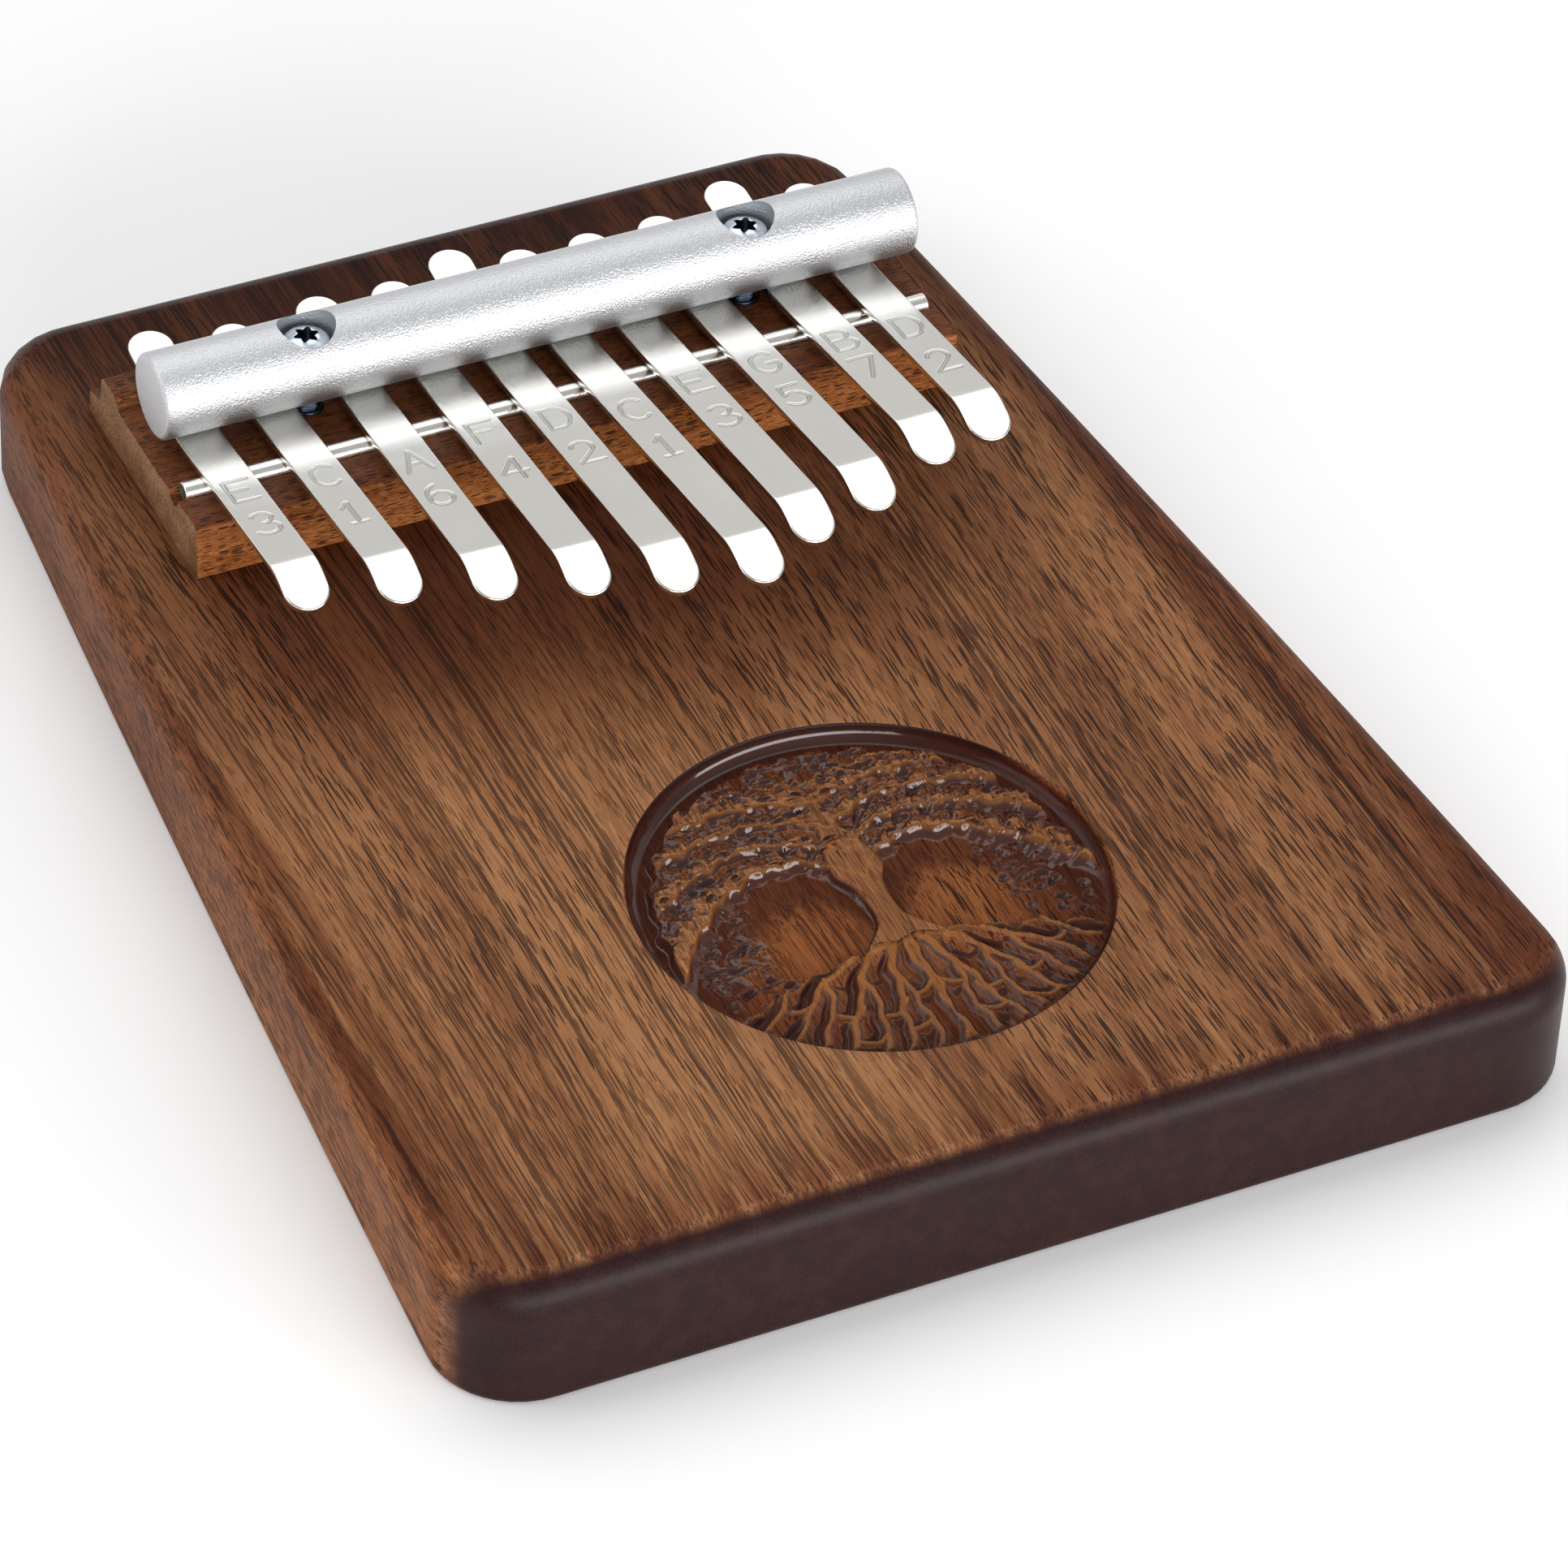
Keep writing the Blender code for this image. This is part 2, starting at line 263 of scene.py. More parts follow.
class Surface:
    """A Principled material with short calls for the nodes that feed it."""

    def __init__(self, name, **values):
        self.material = bpy.data.materials.new(name)
        self.material.use_nodes = True
        self.tree = self.material.node_tree
        self.shader = self.tree.nodes["Principled BSDF"]
        for socket, value in values.items():
            self.shader.inputs[socket.replace("_", " ")].default_value = value

    def node(self, kind, inputs=None, **settings):
        return add_node(self.tree, kind, inputs, **settings)

    def coordinates(self):
        return self.node("ShaderNodeTexCoord").outputs["Object"]

    def axes(self, vector):
        """The X, Y and Z parts of a vector."""
        return self.node("ShaderNodeSeparateXYZ", {"Vector": vector}).outputs

    def facing(self):
        """The X, Y and Z parts of the direction that the surface faces."""
        return self.axes(self.node("ShaderNodeNewGeometry").outputs["Normal"])

    def scaled(self, vector, per_mm):
        """A place in metres, as a count of patterns along X, Y and Z."""
        scale = [value / MM for value in per_mm]
        return self.node("ShaderNodeMapping", {"Vector": vector, "Scale": scale}).outputs[0]

    def place(self, per_mm):
        return self.scaled(self.coordinates(), per_mm)

    def noise(self, vector, detail=2.0, rough=0.5, warp=0.0):
        inputs = {"Vector": vector, "Scale": 1.0, "Detail": detail, "Roughness": rough, "Distortion": warp}
        return self.node("ShaderNodeTexNoise", inputs).outputs["Fac"]

    def dashes(self, vector, longest, softness):
        """At most one dash in each cell of a pattern, of any size up to longest."""
        cell = self.node("ShaderNodeTexVoronoi", {"Vector": vector, "Scale": 1.0})
        pick = self.node("ShaderNodeSeparateColor", {"Color": cell.outputs["Color"]}).outputs[0]
        dash = self.math("SUBTRACT", self.times(pick, longest), cell.outputs["Distance"])
        return self.mask(dash, 0.0, softness)

    def ramp(self, factor, stops):
        """stops are (position, (r, g, b))."""
        made = self.node("ShaderNodeValToRGB", {"Fac": factor})
        elements = made.color_ramp.elements
        while len(elements) < len(stops):
            elements.new(0.5)
        for element, (position, colour) in zip(elements, stops):
            element.position = position
            element.color = (*colour, 1.0)
        return made.outputs["Color"]

    def math(self, operation, a, b=0.0):
        return self.node("ShaderNodeMath", {0: a, 1: b}, operation=operation).outputs[0]

    def times(self, a, b):
        return self.math("MULTIPLY", a, b)

    def times_plus(self, a, b, c):
        """a times b, plus c."""
        return self.node("ShaderNodeMath", {0: a, 1: b, 2: c}, operation="MULTIPLY_ADD").outputs[0]

    def spread(self, value, low, high):
        """value from 0..1 stretched to low..high."""
        inputs = {"Value": value, "To Min": low, "To Max": high}
        return self.node("ShaderNodeMapRange", inputs).outputs[0]

    def mask(self, value, low, high):
        """0 below low, 1 above high, smooth between."""
        inputs = {"Value": value, "From Min": low, "From Max": high}
        made = self.node("ShaderNodeMapRange", inputs, interpolation_type="SMOOTHSTEP")
        return made.outputs[0]

    def mix(self, factor, a, b, blend="MIX"):
        inputs = {0: factor, 6: a, 7: b}
        for socket in (6, 7):
            if isinstance(inputs[socket], tuple):
                inputs[socket] = (*inputs[socket], 1.0)
        return self.node("ShaderNodeMix", inputs, data_type="RGBA", blend_type=blend).outputs[2]

    def feed(self, socket, value):
        self.tree.links.new(value, self.shader.inputs[socket])

    def bump(self, height, distance_mm, strength=1.0):
        inputs = {"Height": height, "Distance": distance_mm * MM, "Strength": strength}
        self.feed("Normal", self.node("ShaderNodeBump", inputs).outputs["Normal"])


# ---- Materials ----
# Each wood's colours, from its darkest streaks to its palest.
WALNUT_COLOURS = [(0.078, 0.025, 0.010), (0.215, 0.084, 0.032), (0.370, 0.172, 0.072)]
BLOCK_COLOURS = [(0.120, 0.032, 0.008), (0.275, 0.088, 0.023), (0.460, 0.180, 0.056)]
END_COLOURS = [(0.120, 0.055, 0.024), (0.225, 0.112, 0.052), (0.345, 0.190, 0.098)]


class Walnut(Surface):
    """Oiled walnut with its grain along Y: broad streaks, fine fibre, and dark pores cut lengthwise."""

    def __init__(self, name, specular, gloss, glossy_cuts=False):
        """gloss is taken off the roughness. glossy_cuts puts varnish on the carving's steep faces."""
        super().__init__(name, Specular_IOR_Level=specular)
        self.at = self.axes(self.coordinates())
        self.normal = self.facing()
        self.swaying = self.sway()
        self.streak = self.grain((0.42, 0.010, 0.42), detail=3.0, rough=0.6)
        self.fibre = self.grain((4.2, 0.12, 4.2), detail=3.0, rough=0.8)
        self.grit = self.noise(self.place((5.0, 5.0, 5.0)), detail=3.0, rough=0.7)
        self.end_grain = self.mask(self.math("ABSOLUTE", self.normal["Y"]), 0.22, 0.55)
        self.away = self.from_medallion()
        self.within = self.mask(self.away, (MEDALLION_R + 0.1) * MM, (MEDALLION_R - 0.3) * MM)
        self.carved = self.times(self.along("Z", TOP - 0.25, TOP - 0.75), self.within)
        lines = self.dark_lines()
        colour = self.mix(self.times(lines, 0.9), self.wood_colour(), (0.016, 0.006, 0.004))
        colour = self.carving(self.edges(self.shade_zones(colour)))
        # Painted shade: faces turned sideways are darkened and reddened to take back the grey sheen they
        # reflect.
        side_shade = self.mask(self.math("ABSOLUTE", self.normal["X"]), 0.35, 0.85)
        self.feed("Base Color", self.mix(side_shade, colour, (0.98, 0.85, 0.80), "MULTIPLY"))
        if glossy_cuts:
            self.varnish()
        self.feed("Roughness", self.spread(self.fibre, 0.44 - gloss, 0.60 - gloss))
        height = self.times_plus(lines, -1.0, self.times(self.fibre, 0.22))
        height = self.times_plus(self.times(self.grit, self.within), 0.4, height)
        self.bump(height, 0.07, 0.8)

    def along(self, axis, low, high):
        """0 below low and 1 above high, in millimetres along an axis."""
        return self.mask(self.at[axis], low * MM, high * MM)

    def from_medallion(self):
        """The distance from the medallion's axis."""
        dx = self.math("POWER", self.at["X"], 2.0)
        dy = self.math("POWER", self.math("SUBTRACT", self.at["Y"], MEDALLION_Y * MM), 2.0)
        return self.math("SQRT", self.math("ADD", dx, dy))

    def sway(self):
        """Places moved a little across the grain, so that it runs in slow waves with a slight ripple."""
        wave = self.noise(self.place((0.016, 0.009, 0.016)), detail=1.0)
        shift = self.times(self.math("SUBTRACT", wave, 0.5), 7 * MM)
        ripple = self.noise(self.place((0.10, 0.045, 0.10)), detail=0.0)
        shift = self.times_plus(self.math("SUBTRACT", ripple, 0.5), 0.7 * MM, shift)
        offset = self.node("ShaderNodeCombineXYZ", {"X": shift}).outputs[0]
        inputs = {0: self.coordinates(), 1: offset}
        return self.node("ShaderNodeVectorMath", inputs, operation="ADD").outputs[0]

    def grain(self, per_mm, **settings):
        return self.noise(self.scaled(self.swaying, per_mm), **settings)

    def wood_colour(self):
        """The plain wood, a little darker from left to right."""
        broad = self.grain((0.075, 0.006, 0.075))
        tone = self.times_plus(broad, 0.26, self.times_plus(self.streak, 0.17, 0.105))
        tone = self.times_plus(self.fibre, 0.37, tone)
        tone = self.times_plus(self.at["X"], -0.0004 / MM, tone)
        return self.ramp(tone, list(zip((0.36, 0.47, 0.59), WALNUT_COLOURS)))

    def dark_lines(self):
        """Pores of two sizes and hairline growth lines, nearly all left out of the end grain."""
        gather = self.mask(self.grain((0.11, 0.006, 0.11), detail=1.0), 0.44, 0.58)
        gather = self.math("MAXIMUM", gather, self.along("X", 15, -30))
        hairs = self.times(self.mask(self.grain((2.6, 0.011, 2.6)), 0.54, 0.62), gather)
        patchy = self.grain((0.06, 0.010, 0.06), detail=1.0)
        coarse = self.mask(self.times_plus(self.along("X", -30, 25), 0.22, patchy), 0.36, 0.66)
        large = self.dashes(self.scaled(self.swaying, (3.5, 0.16, 3.5)), 0.54, 0.04)
        small = self.dashes(self.scaled(self.swaying, (5.6, 0.26, 5.6)), 0.46, 0.04)
        pores = self.math("MAXIMUM", self.times(large, coarse), self.times(small, 0.8))
        lines = self.math("MAXIMUM", pores, self.times(hairs, 0.75))
        return self.times(lines, self.times_plus(self.end_grain, -0.9, 1.0))

    def shade_zones(self, colour):
        """Painted shade with darker wood: darker towards the bar end, and in a broad patch left of the
        middle, before the block.
        """
        inner = self.times_plus(self.along("X", -60, -38), 0.45, 0.55)
        # Towards the bar end: partly darker heartwood, partly painted shade of the tines, the bar and the
        # block.
        far = self.times(self.along("Y", -12, 78), inner)
        colour = self.mix(far, colour, (0.29, 0.185, 0.15), "MULTIPLY")
        # Before the block: partly darker wood, partly painted shade of the tines and the block.
        patch = self.times(self.along("X", 38, 6), self.along("X", -74, -34))
        patch = self.times(patch, self.along("Y", -20, 16))
        patch = self.times(patch, self.times_plus(self.along("Y", 28, 44), -0.7, 1.0))
        return self.mix(patch, colour, (0.46, 0.33, 0.30), "MULTIPLY")

    def edges(self, colour):
        """Edges burnished darker, and the ends darkest of all: dark end grain with painted shade."""
        near_end = self.mask(self.math("ABSOLUTE", self.at["Y"]), 66 * MM, 80 * MM)
        from_middle = self.math("ABSOLUTE", self.math("ADD", self.at["X"], 1.5 * MM))
        near_side = self.mask(from_middle, 46 * MM, 58 * MM)
        near_side = self.times(near_side, self.mask(self.normal["Z"], 0.2, 0.9))
        near_edge = self.math("MAXIMUM", near_end, near_side)
        stain = self.times(near_edge, self.mask(self.streak, 0.70, 0.38))
        stain = self.times_plus(self.along("X", 49, 57), 0.4, stain)
        colour = self.mix(stain, colour, (0.48, 0.33, 0.28), "MULTIPLY")
        # The end faces: dark end grain, darkened further with painted shade.
        ends = self.mix(self.mask(self.grit, 0.42, 0.58), (0.011, 0.0030, 0.0040), (0.021, 0.0065, 0.0075))
        return self.mix(self.times(self.end_grain, 0.97), colour, ends)

    def carving(self, colour):
        """Inside the medallion the finish pools in the cuts, with painted shade in their steep and deep
        places, and their lips are painted pale as worn wood and as a highlight.
        """
        colour = self.mix(self.times(self.carved, 0.85), colour, (0.72, 0.50, 0.32), "MULTIPLY")
        rimward = self.times(self.mask(self.away, 9 * MM, 23 * MM), self.carved)
        colour = self.mix(rimward, colour, (0.52, 0.40, 0.36), "MULTIPLY")
        # Steep and deep places are painted dark: finish pooled in the cuts, and painted shade in the
        # recesses.
        steep = self.mask(self.normal["Z"], 0.975, 0.80)
        deep = self.along("Z", TOP - 1.05, TOP - 1.5)
        pooled_and_shade = self.math("MAXIMUM", self.times_plus(steep, 0.82, 0.08), self.times(deep, 0.72))
        colour = self.mix(self.times(pooled_and_shade, self.carved), colour, (0.044, 0.0090, 0.0045))
        # The lips are painted pale: paler worn wood, and a painted highlight along each edge.
        lip = self.node("ShaderNodeAttribute", attribute_name="lip").outputs["Fac"]
        return self.mix(self.times(lip, 0.45), colour, (0.34, 0.135, 0.035))

    def varnish(self):
        """A clear coat on the carving's steep faces, thinner on the rim's right wall and over the roots."""
        self.shader.inputs["Coat IOR"].default_value = 1.5
        self.shader.inputs["Coat Roughness"].default_value = 0.09
        rim = self.times(self.mask(self.away, 23.4 * MM, 24.4 * MM), self.along("X", 6, 20))
        coat = self.times(self.mask(self.normal["Z"], 0.985, 0.93), self.times_plus(rim, -0.75, 1.0))
        coat = self.times(coat, self.times_plus(self.along("Y", -45, -50), -0.5, 1.0))
        self.feed("Coat Weight", self.times(coat, self.carved))


def bridge_wood(name, along, cross, colours, depth):
    """A reddish hardwood with short dark flecks, its upward faces darkened as painted shade; along and
    cross are patterns per millimetre.
    """
    s = Surface(name, Roughness=0.5, Specular_IOR_Level=0.16)
    scale = (along, cross, cross)
    slow = s.noise(s.place([value * 0.10 for value in scale]), detail=3.0)
    fibre = s.noise(s.place([value * 1.6 for value in scale]), detail=4.0, rough=0.8, warp=0.2)
    tone = s.times_plus(slow, 0.25, s.times(fibre, 0.75))
    colour = s.ramp(tone, list(zip((0.38, 0.5, 0.60), colours)))
    flecks = s.dashes(s.place(scale), 0.55, 0.06)
    colour = s.mix(s.times(flecks, depth), colour, (0.022, 0.007, 0.004))
    # Painted shade: faces turned upward are darkened, as the block's top lies in the shade of the tines and
    # the bar.
    top_shade = s.mask(s.facing()["Z"], 0.3, 0.8)
    s.feed("Base Color", s.mix(top_shade, colour, (0.42, 0.35, 0.30), "MULTIPLY"))
    s.feed("Roughness", s.spread(fibre, 0.42, 0.6))
    s.bump(s.times_plus(flecks, -1.0, fibre), 0.06, 0.8)
    return s.material


def blasted_aluminium():
    s = Surface("blasted_aluminium", Metallic=1.0, Base_Color=(0.64, 0.65, 0.67, 1.0))
    grit = s.noise(s.place((4.5, 4.5, 4.5)), detail=2.0, rough=0.6)
    s.feed("Roughness", s.spread(grit, 0.36, 0.46))
    s.bump(grit, 0.11, 1.0)
    return s.material


def bored_aluminium():
    s = Surface("bored_aluminium", Metallic=1.0, Base_Color=(0.42, 0.47, 0.53, 1.0))
    turned = s.noise(s.place((1.5, 1.5, 9.0)), detail=3.0, rough=0.7)
    s.feed("Roughness", s.spread(turned, 0.35, 0.6))
    s.bump(turned, 0.03, 0.8)
    return s.material


def tine_steel():
    """Rolled spring steel: a faint lengthwise grain and a few softer patches, and stamped strokes painted
    dark: duller metal, with painted shade on their walls.
    """
    s = Surface("rolled_steel", Metallic=1.0)
    rolled = s.noise(s.place((9.0, 0.25, 9.0)), detail=3.0, rough=0.6)
    patch = s.noise(s.place((0.25, 0.12, 0.25)), detail=2.0)
    rough = s.times_plus(rolled, 0.10, s.times(patch, 0.10))
    # The stamped strokes are painted dark: painted shade on their walls, and duller metal in their bottoms.
    stamp_shade = s.node("ShaderNodeAttribute", attribute_name="stamp_shade").outputs["Fac"]
    s.feed("Base Color", s.mix(stamp_shade, (0.86, 0.845, 0.80), (0.16, 0.15, 0.13)))
    s.feed("Roughness", s.times_plus(stamp_shade, 0.2, s.math("ADD", rough, 0.06)))
    s.bump(rolled, 0.004, 0.6)
    return s.material


def plated(name, colour, low, high):
    s = Surface(name, Metallic=1.0, Base_Color=(*colour, 1.0))
    worn = s.noise(s.place((1.2, 1.2, 1.2)), detail=4.0, rough=0.6)
    s.feed("Roughness", s.spread(worn, low, high))
    s.bump(worn, 0.01, 0.5)
    return s.material


WALNUT = Walnut("walnut_face", specular=0.08, gloss=0.0).material
WALNUT_CARVED = Walnut("walnut_carved", specular=0.05, gloss=0.0, glossy_cuts=True).material
WALNUT_END = Walnut("walnut_end", specular=0.16, gloss=0.12).material
BLOCK_WOOD = bridge_wood("bridge_wood_side", 0.62, 4.6, BLOCK_COLOURS, 0.85)
BLOCK_END = bridge_wood("bridge_wood_end", 2.8, 2.8, END_COLOURS, 0.5)
BAR_METAL = blasted_aluminium()
BORE_METAL = bored_aluminium()
TINE_METAL = tine_steel()
NICKEL = plated("polished_nickel", (0.90, 0.88, 0.84), 0.20, 0.30)
ZINC = plated("bright_zinc", (0.60, 0.66, 0.72), 0.16, 0.34)
BLUED = plated("blued_steel", (0.07, 0.09, 0.13), 0.2, 0.35)


# ---- Medallion carving: a generic round tree ----
# Boughs on each side, front to back: where each starts on the stem, how far it arches up, the arch's
# middle and half-width, how deep the wood in front of it is cut, and the share by which that cut gets
# shallower between two distances in front of it.
BOUGHS = [
    (1.0, 5.4, 7.2, 7.2, 1.60, 0.42, 2.0, 10.0),
    (4.8, 5.0, 8.2, 8.6, 1.30, 0.82, 0.0, 3.8),
    (8.8, 4.2, 8.6, 9.4, 1.15, 0.82, 0.0, 3.6),
    (12.4, 3.4, 9.0, 10.5, 0.95, 0.82, 0.0, 3.4),
    (15.8, 2.6, 8.0, 10.5, 0.70, 0.82, 0.0, 3.0),
]


def cove(share):
    """A quarter round: upright at 0 and level at 1."""
    share = np.clip(share, 0, 1)
    return np.sqrt(1 - (1 - share) ** 2)


def scales(x, y, draw):
    """Small leaf scales: each is cut down at its back and stands up at its front."""
    relief = np.zeros_like(x)
    for _ in range(SCALES):
        reach = 23.0 * math.sqrt(draw.uniform(0.02, 1.0))
        angle = draw.uniform(-0.75, math.pi + 0.75)
        lx, ly = reach * math.cos(angle), reach * math.sin(angle)
        turn = draw.normal(0, 0.55) + 0.5 * lx / MEDALLION_R
        long, wide = draw.uniform(0.55, 1.0), draw.uniform(0.6, 1.4)
        tall = draw.uniform(0.16, 0.46)
        near = np.flatnonzero((np.abs(x - lx) < 2.2) & (np.abs(y - ly) < 2.2))
        dx, dy = x[near] - lx, y[near] - ly
        p = (dx * math.sin(turn) - dy * math.cos(turn)) / long
        q = (dx * math.cos(turn) + dy * math.sin(turn)) / wide
        inside = np.clip(1 - p * p - q * q, 0, None)
        relief[near] += tall * inside * (p - 0.25) * 1.5
    return np.clip(relief, -0.55, 0.4)


# Roots on one side: the control points of a Bezier curve, and the half-width at its start and its end.
ROOTS = [
    ([(0.0, -7.5), (0.9, -13.0), (-0.8, -18.0), (0.4, -25.0)], 0.31, 0.13),
    ([(1.2, -8.2), (3.8, -11.5), (3.6, -17.0), (6.6, -24.0)], 0.31, 0.13),
    ([(2.2, -8.4), (7.0, -10.2), (8.2, -15.0), (12.2, -22.0)], 0.31, 0.13),
    ([(3.0, -8.4), (9.0, -9.2), (12.2, -12.0), (17.0, -18.8)], 0.29, 0.12),
    ([(3.4, -8.2), (9.0, -7.0), (15.5, -8.6), (22.5, -13.0)], 0.27, 0.12),
    ([(3.3, -13.2), (2.0, -16.5), (3.2, -25.0)], 0.18, 0.10),
    ([(6.9, -12.6), (5.6, -16.5), (9.4, -23.5)], 0.18, 0.10),
    ([(10.2, -10.8), (10.6, -15.0), (14.8, -20.5)], 0.17, 0.10),
    ([(12.6, -8.4), (15.0, -12.2), (19.9, -16.2)], 0.17, 0.10),
    ([(0.3, -14.6), (1.4, -16.2), (2.7, -16.0)], 0.11, 0.09),
    ([(3.7, -16.8), (4.6, -18.8), (6.3, -18.0)], 0.11, 0.09),
    ([(8.4, -15.8), (9.6, -17.8), (11.3, -16.4)], 0.11, 0.09),
    ([(12.6, -13.2), (14.2, -15.0), (15.6, -13.6)], 0.11, 0.09),
    ([(16.3, -9.9), (17.8, -11.6), (19.6, -10.9)], 0.11, 0.09),
    ([(2.6, -20.0), (4.2, -21.6), (5.6, -21.0)], 0.10, 0.09),
    ([(8.2, -20.4), (9.8, -21.8), (11.4, -20.6)], 0.10, 0.09),
]


def bezier(points, count):
    """Points along a Bezier curve of any degree."""
    n = len(points) - 1
    out = []
    for i in range(count + 1):
        t = i / count
        weights = [math.comb(n, k) * t**k * (1 - t) ** (n - k) for k in range(n + 1)]
        out.append(tuple(sum(w * p[axis] for w, p in zip(weights, points)) for axis in (0, 1)))
    return out


def rib_distance(x, y, points, start, end):
    """How far each place is outside a tapering rib along a curve."""
    curve = bezier(points, 18)
    nearest = np.full_like(x, FAR_AWAY)
    for i, ((ax, ay), (bx, by)) in enumerate(zip(curve, curve[1:])):
        dx, dy = bx - ax, by - ay
        t = np.clip(((x - ax) * dx + (y - ay) * dy) / (dx * dx + dy * dy), 0, 1)
        half = start + (end - start) * (i + t) / (len(curve) - 1)
        nearest = np.minimum(nearest, np.hypot(x - ax - t * dx, y - ay - t * dy) - half)
    return nearest


def roots(x, y):
    """(height, lip) of branching roots with scooped hollows between them."""
    side = np.where(x < 0, 1.9, 0.0)
    bent_x = np.abs(x) + 0.22 * np.sin(0.9 * y + side) + 0.10 * np.sin(2.1 * y - side)
    bent_y = y + 0.22 * np.sin(0.8 * x + side) + 0.10 * np.sin(1.9 * x)
    gap = np.full_like(x, FAR_AWAY)
    behind = np.full_like(x, FAR_AWAY)
    for points, start, end in ROOTS:
        gap = np.minimum(gap, rib_distance(bent_x, bent_y, points, start, end))
        behind = np.minimum(behind, rib_distance(bent_x, bent_y + 0.7, points, start, end))
    tilt = np.clip((behind - gap) / 0.7, -1, 1)
    rib = -0.12 - 0.10 * (1 - np.clip(-gap / 0.4, 0, 1)) ** 2
    hollow = -0.22 - 1.50 * cove(gap / 0.95) * (0.66 + 0.34 * tilt)
    return np.where(gap > 0, hollow, rib), np.exp(-((np.maximum(gap, 0) / 0.16) ** 2))


def carve(x, y):
    """(depth, lip) of the carving at places round the medallion's centre: the height above the board's
    top in millimetres, and 1 on the lips of the cuts, painted pale as worn wood and as a highlight."""
    draw = np.random.RandomState(23)
    r = np.hypot(x, y)
    u = np.abs(x)
    side = np.where(x < 0, 1.7, 0.0)
    depth = np.full_like(x, -0.95)
    lip = np.zeros_like(x)
    leafy = np.ones_like(x)
    for number, bough in reversed(list(enumerate(BOUGHS))):
        base, rise, middle, half, cut_down, easing, near, far = bough
        phase = number * 2.1 + side
        half = np.where(u > middle, 1.5 * half, half)
        line = base + rise * (1 - ((u - middle) / half) ** 2)
        line += 0.55 * np.abs(np.sin(0.62 * u + phase)) + 0.16 * np.sin(2.3 * u + phase)
        lean = 2 * rise * (u - middle) / half**2
        ahead = (line - y) / np.sqrt(1 + lean * lean)
        front = ahead > 0
        fade = 1 - easing * smoothstep(near, far, ahead)
        depth = np.where(front, -cut_down * cove(ahead / 1.6) * fade, depth)
        edge = np.exp(-(((ahead - 0.02) / 0.2) ** 2))
        lip = np.where(front, 0, lip)
        lip = np.maximum(lip, edge)
        if number == 0:
            lens = smoothstep(0.0, 1.2, ahead)
            leafy = 1 - lens * (1 - smoothstep(12.0, 15.0, u + 0.8 * np.sin(1.1 * y)))
    # Stem: smooth, wider at its foot, forking into the crown.
    half = 1.75 + 2.7 * smoothstep(-3.5, -9.5, y) ** 1.5
    half = np.where(y > 0, 1.75 + 0.9 * smoothstep(0, 3, y) - 2.0 * smoothstep(4, 17, y), half)
    across = u - 0.25 * np.sin(0.5 * y)
    stem = -0.16 - 0.9 * (1 - cove((half - across) / 0.8)) - 0.35 * smoothstep(6, 16, y)
    stem = np.where(across < half, stem, -3.0)
    leafy *= np.where(across < half, smoothstep(3, 12, y), 1)
    depth = np.maximum(depth, stem)
    depth = depth + scales(x, y, draw) * leafy
    # Roots in front of a lobed line.
    web, web_lip = roots(x, y)
    line = -9.0 + 0.7 * np.abs(np.sin(0.75 * u + 0.6 + side)) - 0.012 * u * u
    below = line - y
    depth = np.where(below > 0, np.minimum(web, -0.18 - 0.4 * cove(below / 0.8)), depth)
    lip = np.where(below > 0, np.maximum(web_lip, np.exp(-((below / 0.25) ** 2))), lip)
    # Rim: a round groove at the back, narrower and shallower at the front.
    back = smoothstep(-9.0, 3.0, y)
    width = 0.9 + 1.9 * back
    floor = -1.25 - 0.65 * back
    angle = np.arctan2(y, x)
    ragged = 0.28 * np.sin(23 * angle) + 0.22 * np.sin(37 * angle + 1.3)
    rim = smoothstep(-0.25, 0.35, r - (MEDALLION_R - width) - ragged * back)
    lip = lip * (1 - rim)
    depth = depth * (1 - rim) + np.minimum(floor, depth) * rim
    wall = np.clip((r - MEDALLION_R + 1.7) / 1.7, 0, 1)
    return np.minimum(depth, -0.06) * np.sqrt(np.clip(1 - wall * wall, 0, None)), lip


# ---- Board ----
def board_outline(inset):
    """The outline moved in by inset, anticlockwise from above."""
    inset += CLEAR
    half = BOARD_LENGTH / 2 - inset
    lean = math.radians(SIDE_TAPER_DEG)
    side = BOARD_MID_WIDTH / 2 - inset / math.cos(lean)
    r = CORNER_R - inset
    corner_y = half - r

    def corner(end, first, last):
        cx = side - end * corner_y * math.tan(lean) - r / math.cos(lean)
        return arc(cx, end * corner_y, r, first, last, OUTLINE_STEPS)

    front = corner(-1, -90, SIDE_TAPER_DEG)
    back = corner(1, SIDE_TAPER_DEG, 90)
    (ax, ay), (bx, by) = front[-1], back[0]
    flank = []
    for i in range(1, OUTLINE_STEPS):
        t = i / OUTLINE_STEPS
        bow = SIDE_BOW * 4 * t * (1 - t)
        flank.append((ax + (bx - ax) * t + bow, ay + (by - ay) * t))
    right = front + flank + back
    return np.array(right + [(-x, y) for x, y in reversed(right)])


def ray_hits(outline, centre, angles):
    """For each angle, the outline's edge that a ray from centre meets, and the share along it."""
    start = outline - centre
    end = np.roll(start, -1, axis=0)
    found = []
    for a in angles:
        d = np.array((math.cos(a), math.sin(a)))
        side_a = start[:, 0] * d[1] - start[:, 1] * d[0]
        side_b = end[:, 0] * d[1] - end[:, 1] * d[0]
        ahead = (start @ d > 0) | (end @ d > 0)
        edge = int(np.flatnonzero((side_a >= 0) & (side_b < 0) & ahead)[0])
        found.append((edge, side_a[edge] / (side_a[edge] - side_b[edge])))
    return found


